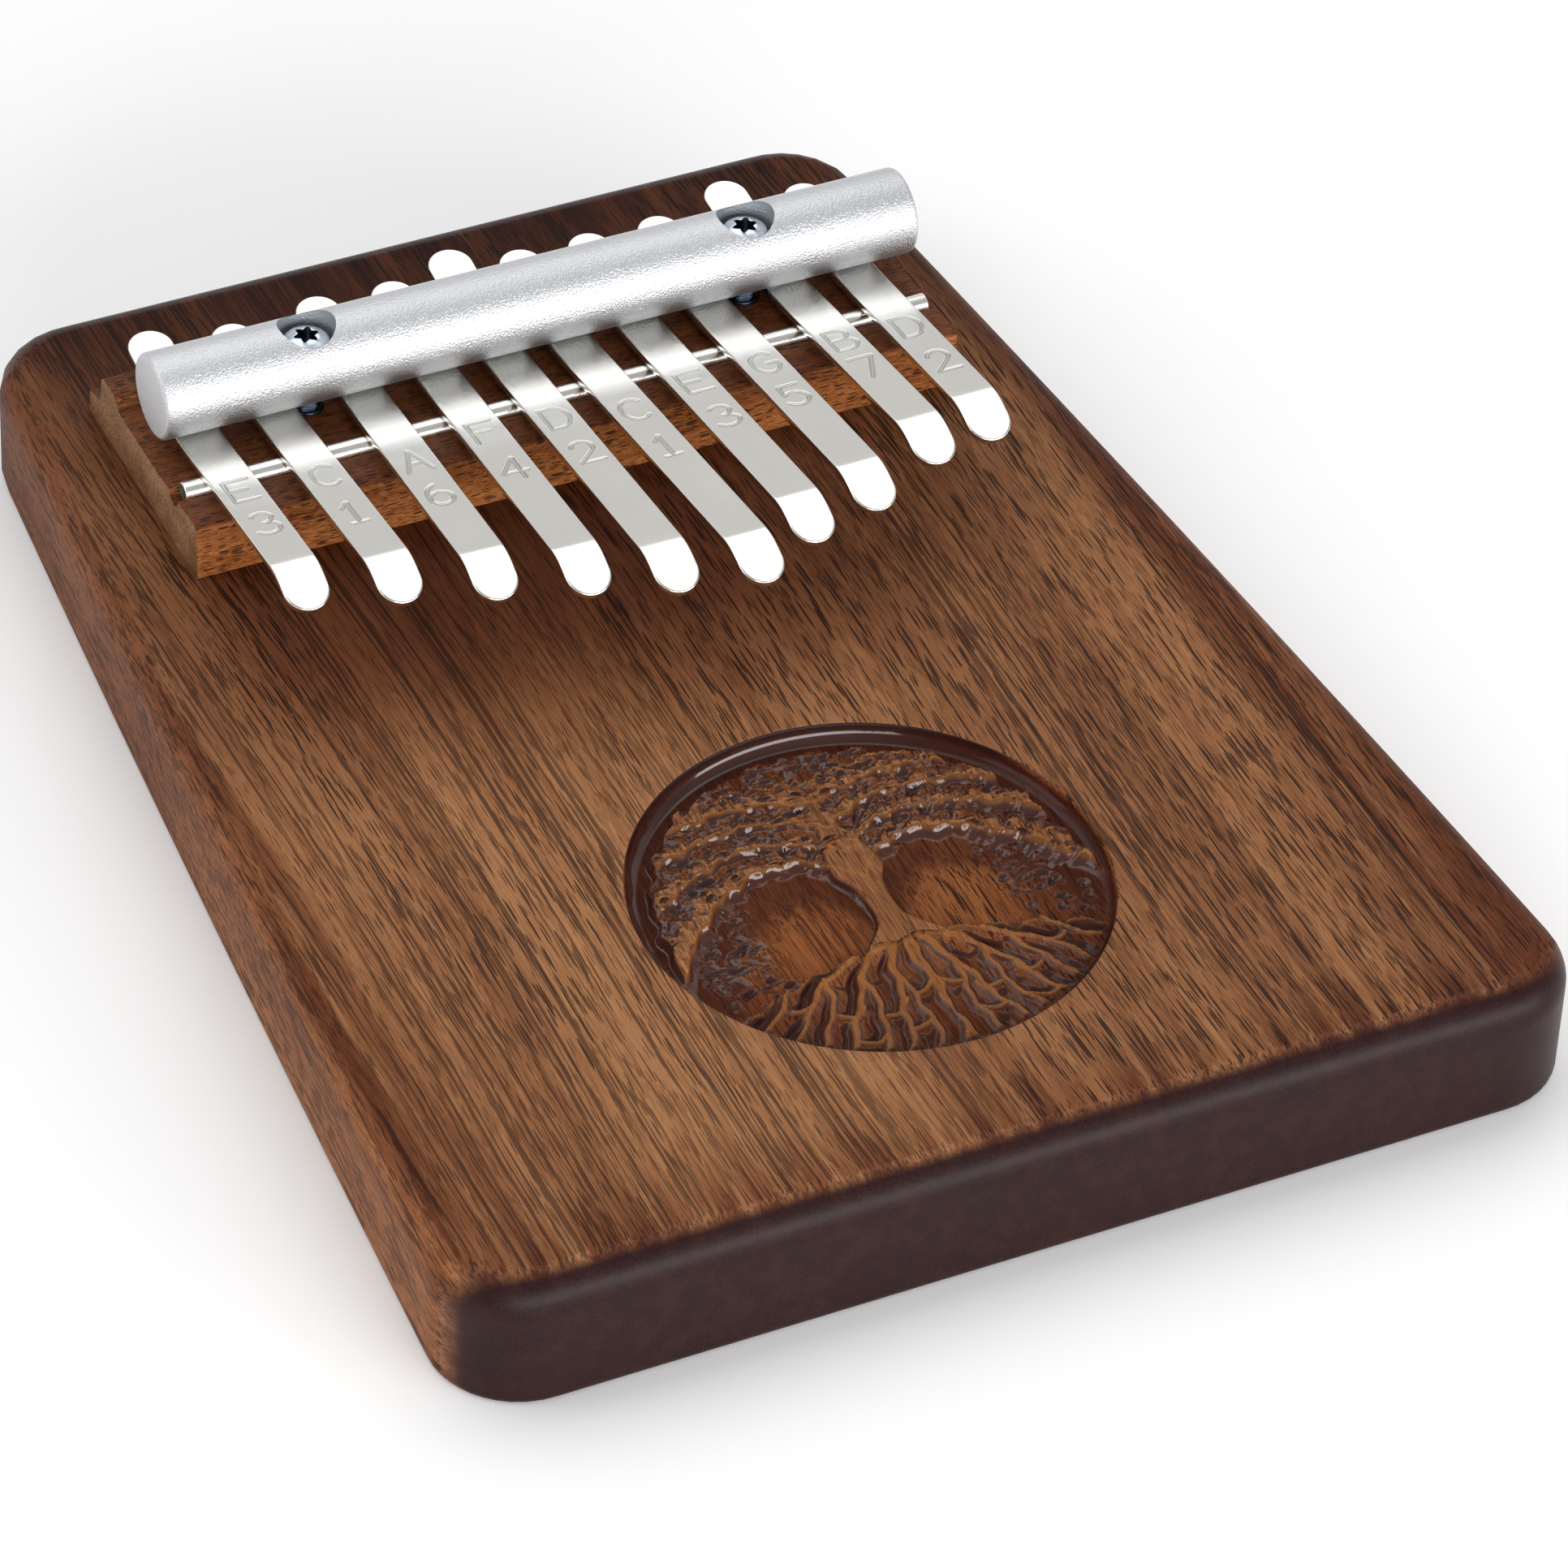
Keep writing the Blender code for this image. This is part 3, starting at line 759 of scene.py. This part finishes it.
def carve_board(board):
    """Lowers the points of the medallion, and marks the lips of its cuts, painted pale as worn wood and as
    a highlight.
    """
    mesh = board.data
    places = np.empty(len(mesh.vertices) * 3)
    mesh.vertices.foreach_get("co", places)
    places = places.reshape(-1, 3)
    x, y, z = places.T / MM
    y = y - MEDALLION_Y
    inside = np.flatnonzero((np.hypot(x, y) < MEDALLION_R - 0.01) & (z > TOP - 0.01))
    depth, lip = carve(x[inside], y[inside])
    places[inside, 2] += depth * MM
    mesh.vertices.foreach_set("co", places.ravel())
    marks = np.zeros(len(places), np.float32)
    marks[inside] = lip
    mesh.attributes.new("lip", "FLOAT", "POINT").data.foreach_set("value", marks)
    mesh.update()


def build_board():
    centre = np.array((0.0, MEDALLION_Y))
    angles = [2 * math.pi * (i + 0.5) / RAYS for i in range(RAYS)]
    unit = np.array([(math.cos(a), math.sin(a)) for a in angles])
    hits = ray_hits(board_outline(TOP_ROUND), centre, angles)
    edges = np.array([edge for edge, _ in hits])
    shares = np.array([share for _, share in hits])[:, None]

    def outline_loop(inset, z):
        outline = board_outline(inset)
        after = np.roll(outline, -1, axis=0)
        flat = outline[edges] * (1 - shares) + after[edges] * shares
        return np.column_stack((flat, np.full(RAYS, z)))

    def ring(r, z):
        return np.column_stack((unit * r + centre, np.full(RAYS, z)))

    # From the medallion's centre outward, then down the board's side to its underside.
    loops = [ring(MEDALLION_R * (i / RELIEF_RINGS), TOP) for i in range(1, RELIEF_RINGS)]
    loops.append(ring(MEDALLION_R, TOP - EDGE_EASE))
    for share in (0.35, 0.7, 1.0):
        a = math.radians(90 * share)
        r = MEDALLION_R + EDGE_EASE * (1 - math.cos(a))
        loops.append(ring(r, TOP - EDGE_EASE + EDGE_EASE * math.sin(a)))
    loops.append(ring(MEDALLION_R + EDGE_EASE + SUPPORT, TOP))
    loops.append(outline_loop(TOP_ROUND + SUPPORT, TOP))
    steps = 10
    for i in range(steps + 1):
        a = math.radians(90 * (1 - i / steps))
        inset = TOP_ROUND * (1 - math.cos(a))
        loops.append(outline_loop(inset, TOP - TOP_ROUND * (1 - math.sin(a))))
    loops.append(outline_loop(0.0, TOP - TOP_ROUND - SUPPORT))
    loops.append(outline_loop(0.0, BOTTOM_CHAMFER + SUPPORT))
    for i in range(4):
        a = math.radians(90 * i / 3)
        inset, z = BOTTOM_CHAMFER * (1 - math.cos(a)), BOTTOM_CHAMFER * (1 - math.sin(a))
        loops.append(outline_loop(inset, z))
    loops.append(outline_loop(BOTTOM_CHAMFER + SUPPORT, 0.0))
    points = np.concatenate(loops)
    middle = len(points)
    faces = tube_faces(len(loops), RAYS)
    faces.append(tuple(range(middle - RAYS, middle)))
    points = np.vstack((points, (0, MEDALLION_Y, TOP)))
    faces += [(middle, (j + 1) % RAYS, j) for j in range(RAYS)]
    board = mesh_object("board", points, faces, [WALNUT, WALNUT_CARVED, WALNUT_END], 60)
    for face in board.data.polygons:
        x, y, z = face.center / MM
        if math.hypot(x, y - MEDALLION_Y) < MEDALLION_R and z > TOP - 1:
            face.material_index = 1
        elif abs(face.normal.y) > 0.2:
            face.material_index = 2
    carve_board(board)
    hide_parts("body_board")
    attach(board, "frame")


# ---- Bridge block ----
def build_block():
    """One section along X: (Y, height above the board), over the groove, the ridge and the rear ledge."""
    clear = ROD_R + 0.12
    profile = [(32.2, 0.0), (32.42, 5.9)]
    profile += arc(33.2, 5.9, 0.8, 180, 95, 6)
    profile += [(36.0, 6.42)]
    profile += arc(ROD_Y, ROD_Z + 0.05, clear, 180, 360, 14)
    profile += [(42.6, 6.05), (46.0, BLOCK_TOP), (54.2, BLOCK_TOP)]
    profile += arc(54.3, 7.0, 1.0, -80, -15, 5)
    profile += arc(56.4, RIDGE_TOP - 0.8, 0.8, 165, 90, 5)
    profile += arc(59.0, RIDGE_TOP - 0.9, 0.9, 90, 10, 5)
    profile += [(60.2, 4.4)]
    profile += arc(61.2, 4.3, 0.9, 190, 262, 4)
    profile += arc(62.9, 2.5, 0.6, 80, 5, 4)
    profile += [(63.6, 0.0)]
    loops = [[(x, y, TOP + z) for y, z in profile] for x in (BLOCK_LOW[0], BLOCK_HIGH[0])]
    block = mesh_object("block", *skin(loops), [BLOCK_WOOD, BLOCK_END], 35)
    soften(block, 0.22, 50)
    for face in block.data.polygons:
        face.material_index = int(abs(face.normal.x) > 0.7)
    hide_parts("bridge_block")
    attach(block, "frame")


# ---- Rod and bar ----
def build_rod():
    ease = 0.12
    x0, x1 = ROD_LOW[0], ROD_HIGH[0]
    levels = [
        (ROD_R - ease, x0), (ROD_R - 0.3 * ease, x0 + 0.3 * ease), (ROD_R, x0 + ease),
        (ROD_R, x1 - ease), (ROD_R - 0.3 * ease, x1 - 0.3 * ease), (ROD_R - ease, x1),
        (ROD_R - ROD_WALL, x1), (ROD_R - ROD_WALL, x0),
    ]
    loops = lying(ROD_Y, TOP + ROD_Z, levels, 64)
    rod = mesh_object("rod", *skin(loops, ring=True), [NICKEL], 50)
    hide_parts("bridge_rod")
    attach(rod, "frame")


def build_bar():
    r = BAR_ROUND
    x0, x1 = BAR_LOW[0], BAR_HIGH[0]
    turns = [math.radians(90 * i / 5) for i in range(6)]
    levels = [(BAR_R - r + r * math.sin(a), x0 + r - r * math.cos(a)) for a in turns]
    levels += [(BAR_R - r + r * math.cos(a), x1 - r + r * math.sin(a)) for a in turns]
    bar = mesh_object("bar", *skin(lying(BAR_Y, TOP + BAR_Z, levels, 192)), [BAR_METAL, BORE_METAL])
    for side, x in SCREW_X.items():
        stepped = [
            (BAR_HOLE_R, TOP + BAR_Z - BAR_R - 1), (BAR_HOLE_R, TOP + COUNTERBORE_FLOOR),
            (COUNTERBORE_R, TOP + COUNTERBORE_FLOOR), (COUNTERBORE_R, TOP + BAR_Z + BAR_R + 1),
        ]
        loops = upright(x, BAR_Y, stepped, 96)
        cut(bar, mesh_object("cutter_" + side, *skin(loops), [BORE_METAL]))
    for face in bar.data.polygons:
        x, y, z = (value / MM for value in face.center)
        off = min(math.hypot(x - hole_x, y - BAR_Y) for hole_x in SCREW_X.values())
        face.material_index = int(off < COUNTERBORE_R - 0.01 and z > TOP + BAR_Z - BAR_R + 0.3)
    shade(bar.data, 35)
    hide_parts("pressure_bar")
    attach(bar, "frame")


# ---- Screws and inserts ----
def build_screw(side):
    x = SCREW_X[side]
    low, high = box_mm("screw_" + side)
    head_r = (high[0] - low[0]) / 2
    top, under = high[2], TOP + COUNTERBORE_FLOOR
    dome = 1.0
    crown = [
        (head_r * math.cos(math.radians(a)), top - dome + dome * math.sin(math.radians(a)))
        for a in (0, 12, 25, 38, 50)
    ]
    crown += [(head_r * 0.5, top)]
    levels = [(SCREW_TIP_R, low[2]), (THREAD_R, low[2] + 0.4)]
    # A fine thread shows between the bar and the block.
    z = TOP + THREAD_LOW
    while z < TOP + THREAD_HIGH:
        levels += [(THREAD_R, z), (THREAD_ROOT_R, z + THREAD_PITCH / 2)]
        z += THREAD_PITCH
    levels += [(THREAD_R, z), (THREAD_R, under), (head_r - 0.08, under), (head_r, under + 0.08)]
    screw = mesh_object("screw_piece_" + side, *skin(upright(x, BAR_Y, levels + crown, 72)), [ZINC])
    star = []
    steps = SOCKET_LOBES * 12
    for i in range(steps):
        a = 2 * math.pi * i / steps
        r = SOCKET_R * (0.83 + 0.17 * math.cos(SOCKET_LOBES * a))
        star.append((x + r * math.cos(a), BAR_Y + r * math.sin(a)))
    loops = [[(u, v, z) for u, v in star] for z in (top - SOCKET_DEPTH, top + 1)]
    cut(screw, mesh_object("cutter_star_" + side, *skin(loops), [ZINC]))
    screw.data.materials.append(BLUED)
    for face in screw.data.polygons:
        across = math.hypot(face.center.x / MM - x, face.center.y / MM - BAR_Y)
        z = face.center.z / MM
        face.material_index = int(z < under - 0.3 or (across < SOCKET_R - 0.12 and z < top - 0.2))
    shade(screw.data, 35)
    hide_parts("screw_" + side)
    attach(screw, "frame")


def build_insert(side):
    x = SCREW_X[side]
    low, high = box_mm("insert_" + side)
    r, top = (high[0] - low[0]) / 2, high[2]
    levels = [
        (INSERT_BORE_R, low[2]), (r, low[2]), (r, top - 0.15), (r - 0.05, top - 0.05), (r - 0.15, top),
        (INSERT_BORE_R + 0.12, top), (INSERT_BORE_R, top - 0.12),
    ]
    piece = mesh_object("insert_piece_" + side, *skin(upright(x, BAR_Y, levels, 48), ring=True), [BLUED])
    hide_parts("insert_" + side)
    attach(piece, "frame")


# ---- Stamped note marks ----
MARK_W, MARK_H = 2.75, 4.2
MARK_STROKE, MARK_DEPTH = 0.30, 0.10
STROKE_SHADE = 0.42  # how dark the bottom of a stroke is beside its walls


def bow(cx, cy, rx, ry, first, last, count=14):
    """An arc of an ellipse inside a mark's unit square."""
    angles = [math.radians(first + (last - first) * i / count) for i in range(count + 1)]
    return [(cx + rx * math.cos(a), cy + ry * math.sin(a)) for a in angles]


# Strokes of each mark in a square from (0, 0), bottom left, to (1, 1).
GLYPHS = {
    "A": [[(0, 0), (0.5, 1), (1, 0)], [(0.2, 0.38), (0.8, 0.38)]],
    "B": [[(0, 0), (0, 1), *bow(0.45, 0.76, 0.42, 0.24, 90, -90), (0, 0.52)],
          [(0.45, 0.52), *bow(0.5, 0.26, 0.5, 0.26, 90, -90), (0, 0)]],
    "C": [bow(0.55, 0.5, 0.55, 0.5, 48, 312, 22)],
    "D": [[(0, 0), (0, 1), *bow(0.4, 0.5, 0.6, 0.5, 90, -90, 18), (0, 0)]],
    "E": [[(1, 1), (0, 1), (0, 0), (1, 0)], [(0, 0.52), (0.75, 0.52)]],
    "F": [[(1, 1), (0, 1), (0, 0)], [(0, 0.52), (0.75, 0.52)]],
    "G": [[*bow(0.55, 0.5, 0.55, 0.5, 48, 330, 22), (1.0, 0.45), (0.6, 0.45)]],
    "1": [[(0.2, 0.75), (0.5, 1), (0.5, 0)], [(0.2, 0), (0.8, 0)]],
    "2": [[*bow(0.5, 0.7, 0.42, 0.3, 165, -30), (0.05, 0), (1, 0)]],
    "3": [[*bow(0.48, 0.76, 0.4, 0.24, 150, -90), *bow(0.48, 0.26, 0.5, 0.26, 90, -150)]],
    "4": [[(0.72, 0), (0.72, 1), (0, 0.32), (1, 0.32)]],
    "5": [[(0.9, 1), (0.15, 1), (0.1, 0.55), *bow(0.48, 0.32, 0.5, 0.32, 120, -150)]],
    "6": [[*bow(0.75, 0.5, 0.7, 0.5, 110, 180, 8), *bow(0.5, 0.3, 0.46, 0.3, 180, -180, 18)]],
    "7": [[(0, 1), (1, 1), (0.35, 0)]],
}


def stroke_depth(x, y, centre_y, mark):
    """How deep the stamp sinks at places on a tine; x is across it and y along it, up the page to +Y."""
    nearest = np.full_like(x, FAR_AWAY)
    for line in GLYPHS[mark]:
        line = [((u - 0.5) * MARK_W, centre_y + (v - 0.5) * MARK_H) for u, v in line]
        for (ax, ay), (bx, by) in zip(line, line[1:]):
            dx, dy = bx - ax, by - ay
            size = dx * dx + dy * dy
            if size < 1e-9:
                continue
            t = np.clip(((x - ax) * dx + (y - ay) * dy) / size, 0, 1)
            nearest = np.minimum(nearest, np.hypot(x - ax - t * dx, y - ay - t * dy))
    return MARK_DEPTH * (1 - smoothstep(MARK_STROKE - 0.15, MARK_STROKE, nearest))


# ---- Tines ----
CONTACT_GAP = 0.12  # room over the rod and the ridge for the tuning slide
OVER_ROD = ROD_Z + ROD_R + CONTACT_GAP
OVER_RIDGE = RIDGE_TOP + CONTACT_GAP
UNDER_BAR = BAR_Z - BAR_R - TINE_THICK
RISE = 1.5 * (OVER_ROD - CONTACT_GAP - UNDER_BAR) / (BAR_Y - ROD_Y)
EDGE_R = 0.16
MARK_STEP = 0.085  # length of a mesh step along a tine where it is stamped
TINE_COLUMNS = 56  # mesh steps across a tine
SLOPE_STEP = 0.05
END_GAP = 0.02  # keeps a tine's ends inside the frame's own pieces


def underside(y, bend):
    """Height above the board of a tine's underside: a strip sprung under the bar, with a bent tip."""
    if y < ROD_Y:
        past = bend + BEND_LEAD - y
        z = OVER_ROD + RISE * (ROD_Y - y)
        if past > 0:
            arc_part = min(past, TIP_ARC)
            z -= (RISE - TIP_SLOPE) * (arc_part * arc_part / (2 * TIP_ARC) + past - arc_part)
        return z
    support, height = (ROD_Y, OVER_ROD) if y < BAR_Y else (RIDGE_CONTACT_Y, OVER_RIDGE)
    span, lift = support - BAR_Y, height - UNDER_BAR
    steep = 1.5 * (lift - CONTACT_GAP)
    share = (y - BAR_Y) / span
    if share <= 1:
        return UNDER_BAR + (3 * lift - steep) * share * share + (steep - 2 * lift) * share**3
    return height + steep * (share - 1)


def tine_section():
    """A tine's section, from its left lower edge round over the top: (inset, side from -1 to 1, height)."""
    rounded = [(EDGE_R * (1 - math.cos(a)), math.sin(a) * EDGE_R) for a in np.radians((0, 30, 60, 90))]
    side = [(inset, EDGE_R - rise) for inset, rise in rounded[::-1]]
    side += [(inset, TINE_THICK - EDGE_R + rise) for inset, rise in rounded]
    section = [(inset, -1.0, z) for inset, z in side]
    section += [(EDGE_R, -1 + 2 * i / TINE_COLUMNS, TINE_THICK) for i in range(1, TINE_COLUMNS)]
    return section + [(inset, 1.0, z) for inset, z in side[::-1]]


def flat_tine(rear, tip, bend, stamped):
    """Rows of (along, across, height) points of the flat strip, from its rear end to its tip."""
    section = tine_section()
    r = TINE_HALF
    straight = [rear - r]
    straight += list(np.arange(rear - r - 1.0, stamped[-1] + 0.6, -0.7))
    straight += list(stamped[::-1])
    straight += list(np.arange(stamped[0] - 0.6, bend + BEND_LEAD + 0.3, -1.5))
    straight += list(np.linspace(bend + BEND_LEAD, tip + r, 14))
    rows = [[(y, s * (r - i), z) for i, s, z in section] for y in straight]

    def end_row(middle, out, a):
        return [
            (middle + out * (r - i) * math.cos(a), s * (r - i) * math.sin(a), z) for i, s, z in section
        ]

    turns = np.radians(np.linspace(0, 90, 14))[:-1]
    rear_rows = [end_row(rear - r, 1, a) for a in turns]
    tip_rows = [end_row(tip + r, -1, a) for a in turns[::-1]]
    return np.array(rear_rows + rows + tip_rows)


def sink_marks(flat, mark, letter_y, digit_y):
    """Sinks the stamped marks into a flat tine's top, and returns how dark each point is painted: painted
    shade on the strokes' walls, and duller metal in their bottoms.
    """
    on_top = flat[:, 2] > TINE_THICK - 1e-6
    sink = stroke_depth(flat[:, 1], flat[:, 0], letter_y, mark[0])
    sink += stroke_depth(flat[:, 1], flat[:, 0], digit_y, mark[1])
    flat[on_top, 2] -= sink[on_top]
    share = sink / MARK_DEPTH
    return np.where(on_top, np.maximum(4 * share * (1 - share), STROKE_SHADE * share), 0)


def build_tine(number, mark, letter_y, digit_y):
    hinge = JOINTS[f"tine_{number}_pluck"]
    axis = Vector(hinge["axis"])
    origin = Vector(hinge["pos_m"]) / MM
    turn = math.atan2(axis.y, axis.x)
    reed_low, _ = box_mm(f"tine_{number}_reed")
    _, tail_high = box_mm(f"tine_{number}_tail")
    tip = ROD_Y + (reed_low[1] - ROD_Y) / math.cos(turn) + END_GAP
    rear = ROD_Y + (tail_high[1] - ROD_Y) / math.cos(turn) - END_GAP
    bend = tip + BEND_TO_TIP
    stamped = np.arange(digit_y - MARK_H / 2 - 0.5, letter_y + MARK_H / 2 + 0.5, MARK_STEP)
    rows = flat_tine(rear, tip, bend, stamped)
    flat = rows.reshape(-1, 3)
    stamp_shade = sink_marks(flat, mark, letter_y, digit_y)
    heights = np.array([underside(y, bend) for y in flat[:, 0]])
    ahead = np.array([underside(y + SLOPE_STEP, bend) for y in flat[:, 0]])
    behind = np.array([underside(y - SLOPE_STEP, bend) for y in flat[:, 0]])
    slope = (ahead - behind) / (2 * SLOPE_STEP)
    norm = np.hypot(1, slope)
    along = flat[:, 0] - slope / norm * flat[:, 2] - ROD_Y
    x = origin.x - along * math.sin(turn) + flat[:, 1] * math.cos(turn)
    y = ROD_Y + along * math.cos(turn) + flat[:, 1] * math.sin(turn)
    points = np.column_stack((x, y, TOP + heights + flat[:, 2] / norm))
    faces = tube_faces(rows.shape[0], rows.shape[1])
    tine = mesh_object(f"tine_{number}", points, faces, [TINE_METAL], 80, ("stamp_shade", stamp_shade))
    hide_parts(f"tine_{number}_tail", f"tine_{number}_reed")
    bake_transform(tine)


# ---- Floor, light and camera ----
AIM = Vector((-1.6, -22.1, 15.5)) * MM
VIEW_AZIMUTH, VIEW_ELEVATION, VIEW_ROLL = -27.05, 40.73, 2.96
VIEW_DISTANCE = 0.838
WALL_HEIGHT = 0.60  # sine of the elevation where the walls end
WALL_LIGHT, FRONT_WALL_LIGHT, CEILING_LIGHT = 0.62, 0.35, 0.42
LENS = 185.2
FLOOR_HALF = 3.0  # metres from the floor's middle to its edge


def outward(azimuth, elevation):
    """The direction from the object towards a place; azimuth 0 is the player's end."""
    a, e = math.radians(azimuth), math.radians(elevation)
    return Vector((math.sin(a) * math.cos(e), -math.cos(a) * math.cos(e), math.sin(e)))


def build_camera():
    data = bpy.data.cameras.new("camera")
    data.lens = LENS
    data.sensor_width = 36.0
    data.clip_start = 0.05
    camera = add_object("camera", data)
    back = outward(VIEW_AZIMUTH, VIEW_ELEVATION)
    turn = back.to_track_quat("Z", "Y").to_matrix().to_4x4()
    roll = Matrix.Rotation(math.radians(VIEW_ROLL), 4, "Z")
    camera.matrix_world = Matrix.Translation(AIM + back * VIEW_DISTANCE) @ turn @ roll
    bpy.context.scene.camera = camera


def softbox(name, azimuth, elevation, distance, width, height, radiance):
    """An area light that faces the object, with the same brightness whatever its size."""
    data = bpy.data.lights.new(name, "AREA")
    data.shape = "RECTANGLE"
    data.size, data.size_y = width, height
    data.energy = radiance * math.pi * width * height
    away = outward(azimuth, elevation)
    turn = away.to_track_quat("Z", "Y").to_matrix().to_4x4()
    add_object(name, data).matrix_world = Matrix.Translation(away * distance) @ turn


def studio_world():
    """A pale wall at the back, a dimmer one at the front, and a dim ceiling."""
    world = bpy.data.worlds.new("studio")
    world.use_nodes = True
    tree = world.node_tree

    def fade(value, low, high, at_low, at_high):
        inputs = {"Value": value, "From Min": low, "From Max": high, "To Min": at_low, "To Max": at_high}
        return add_node(tree, "ShaderNodeMapRange", inputs, interpolation_type="SMOOTHSTEP").outputs[0]

    direction = add_node(tree, "ShaderNodeTexCoord").outputs["Generated"]
    part = add_node(tree, "ShaderNodeSeparateXYZ", {0: direction}).outputs
    wall = fade(part["Y"], -0.3, 0.4, FRONT_WALL_LIGHT, WALL_LIGHT)
    strength = fade(part["Z"], WALL_HEIGHT - 0.06, WALL_HEIGHT + 0.06, wall, CEILING_LIGHT)
    background = tree.nodes["Background"]
    background.inputs["Color"].default_value = (1, 1, 1, 1)
    tree.links.new(strength, background.inputs["Strength"])
    return world


def build_studio():
    half = FLOOR_HALF / MM
    floor = mesh_object(
        "floor",
        [(x * half, y * half, 0) for x, y in ((-1, -1), (1, -1), (1, 1), (-1, 1))],
        [(0, 1, 2, 3)],
        [Surface("floor_white", Base_Color=(0.95, 0.95, 0.95, 1.0), Roughness=0.8).material],
    )
    bpy.context.scene.world = studio_world()
    bpy.context.scene.view_settings.view_transform = "Standard"
    softbox("overhead", 180, 62, 0.9, 1.5, 0.86, 1.14)
    softbox("front", 10, 17, 1.2, 2.3, 0.38, 7.5)
    softbox("left", -98, 32, 1.0, 0.7, 0.5, 1.6)


build_board()
build_block()
build_rod()
build_bar()
for screw_side in ("left", "right"):
    build_screw(screw_side)
    build_insert(screw_side)
for number, note in enumerate(MARKS, 1):
    build_tine(number, *note)
build_camera()
build_studio()
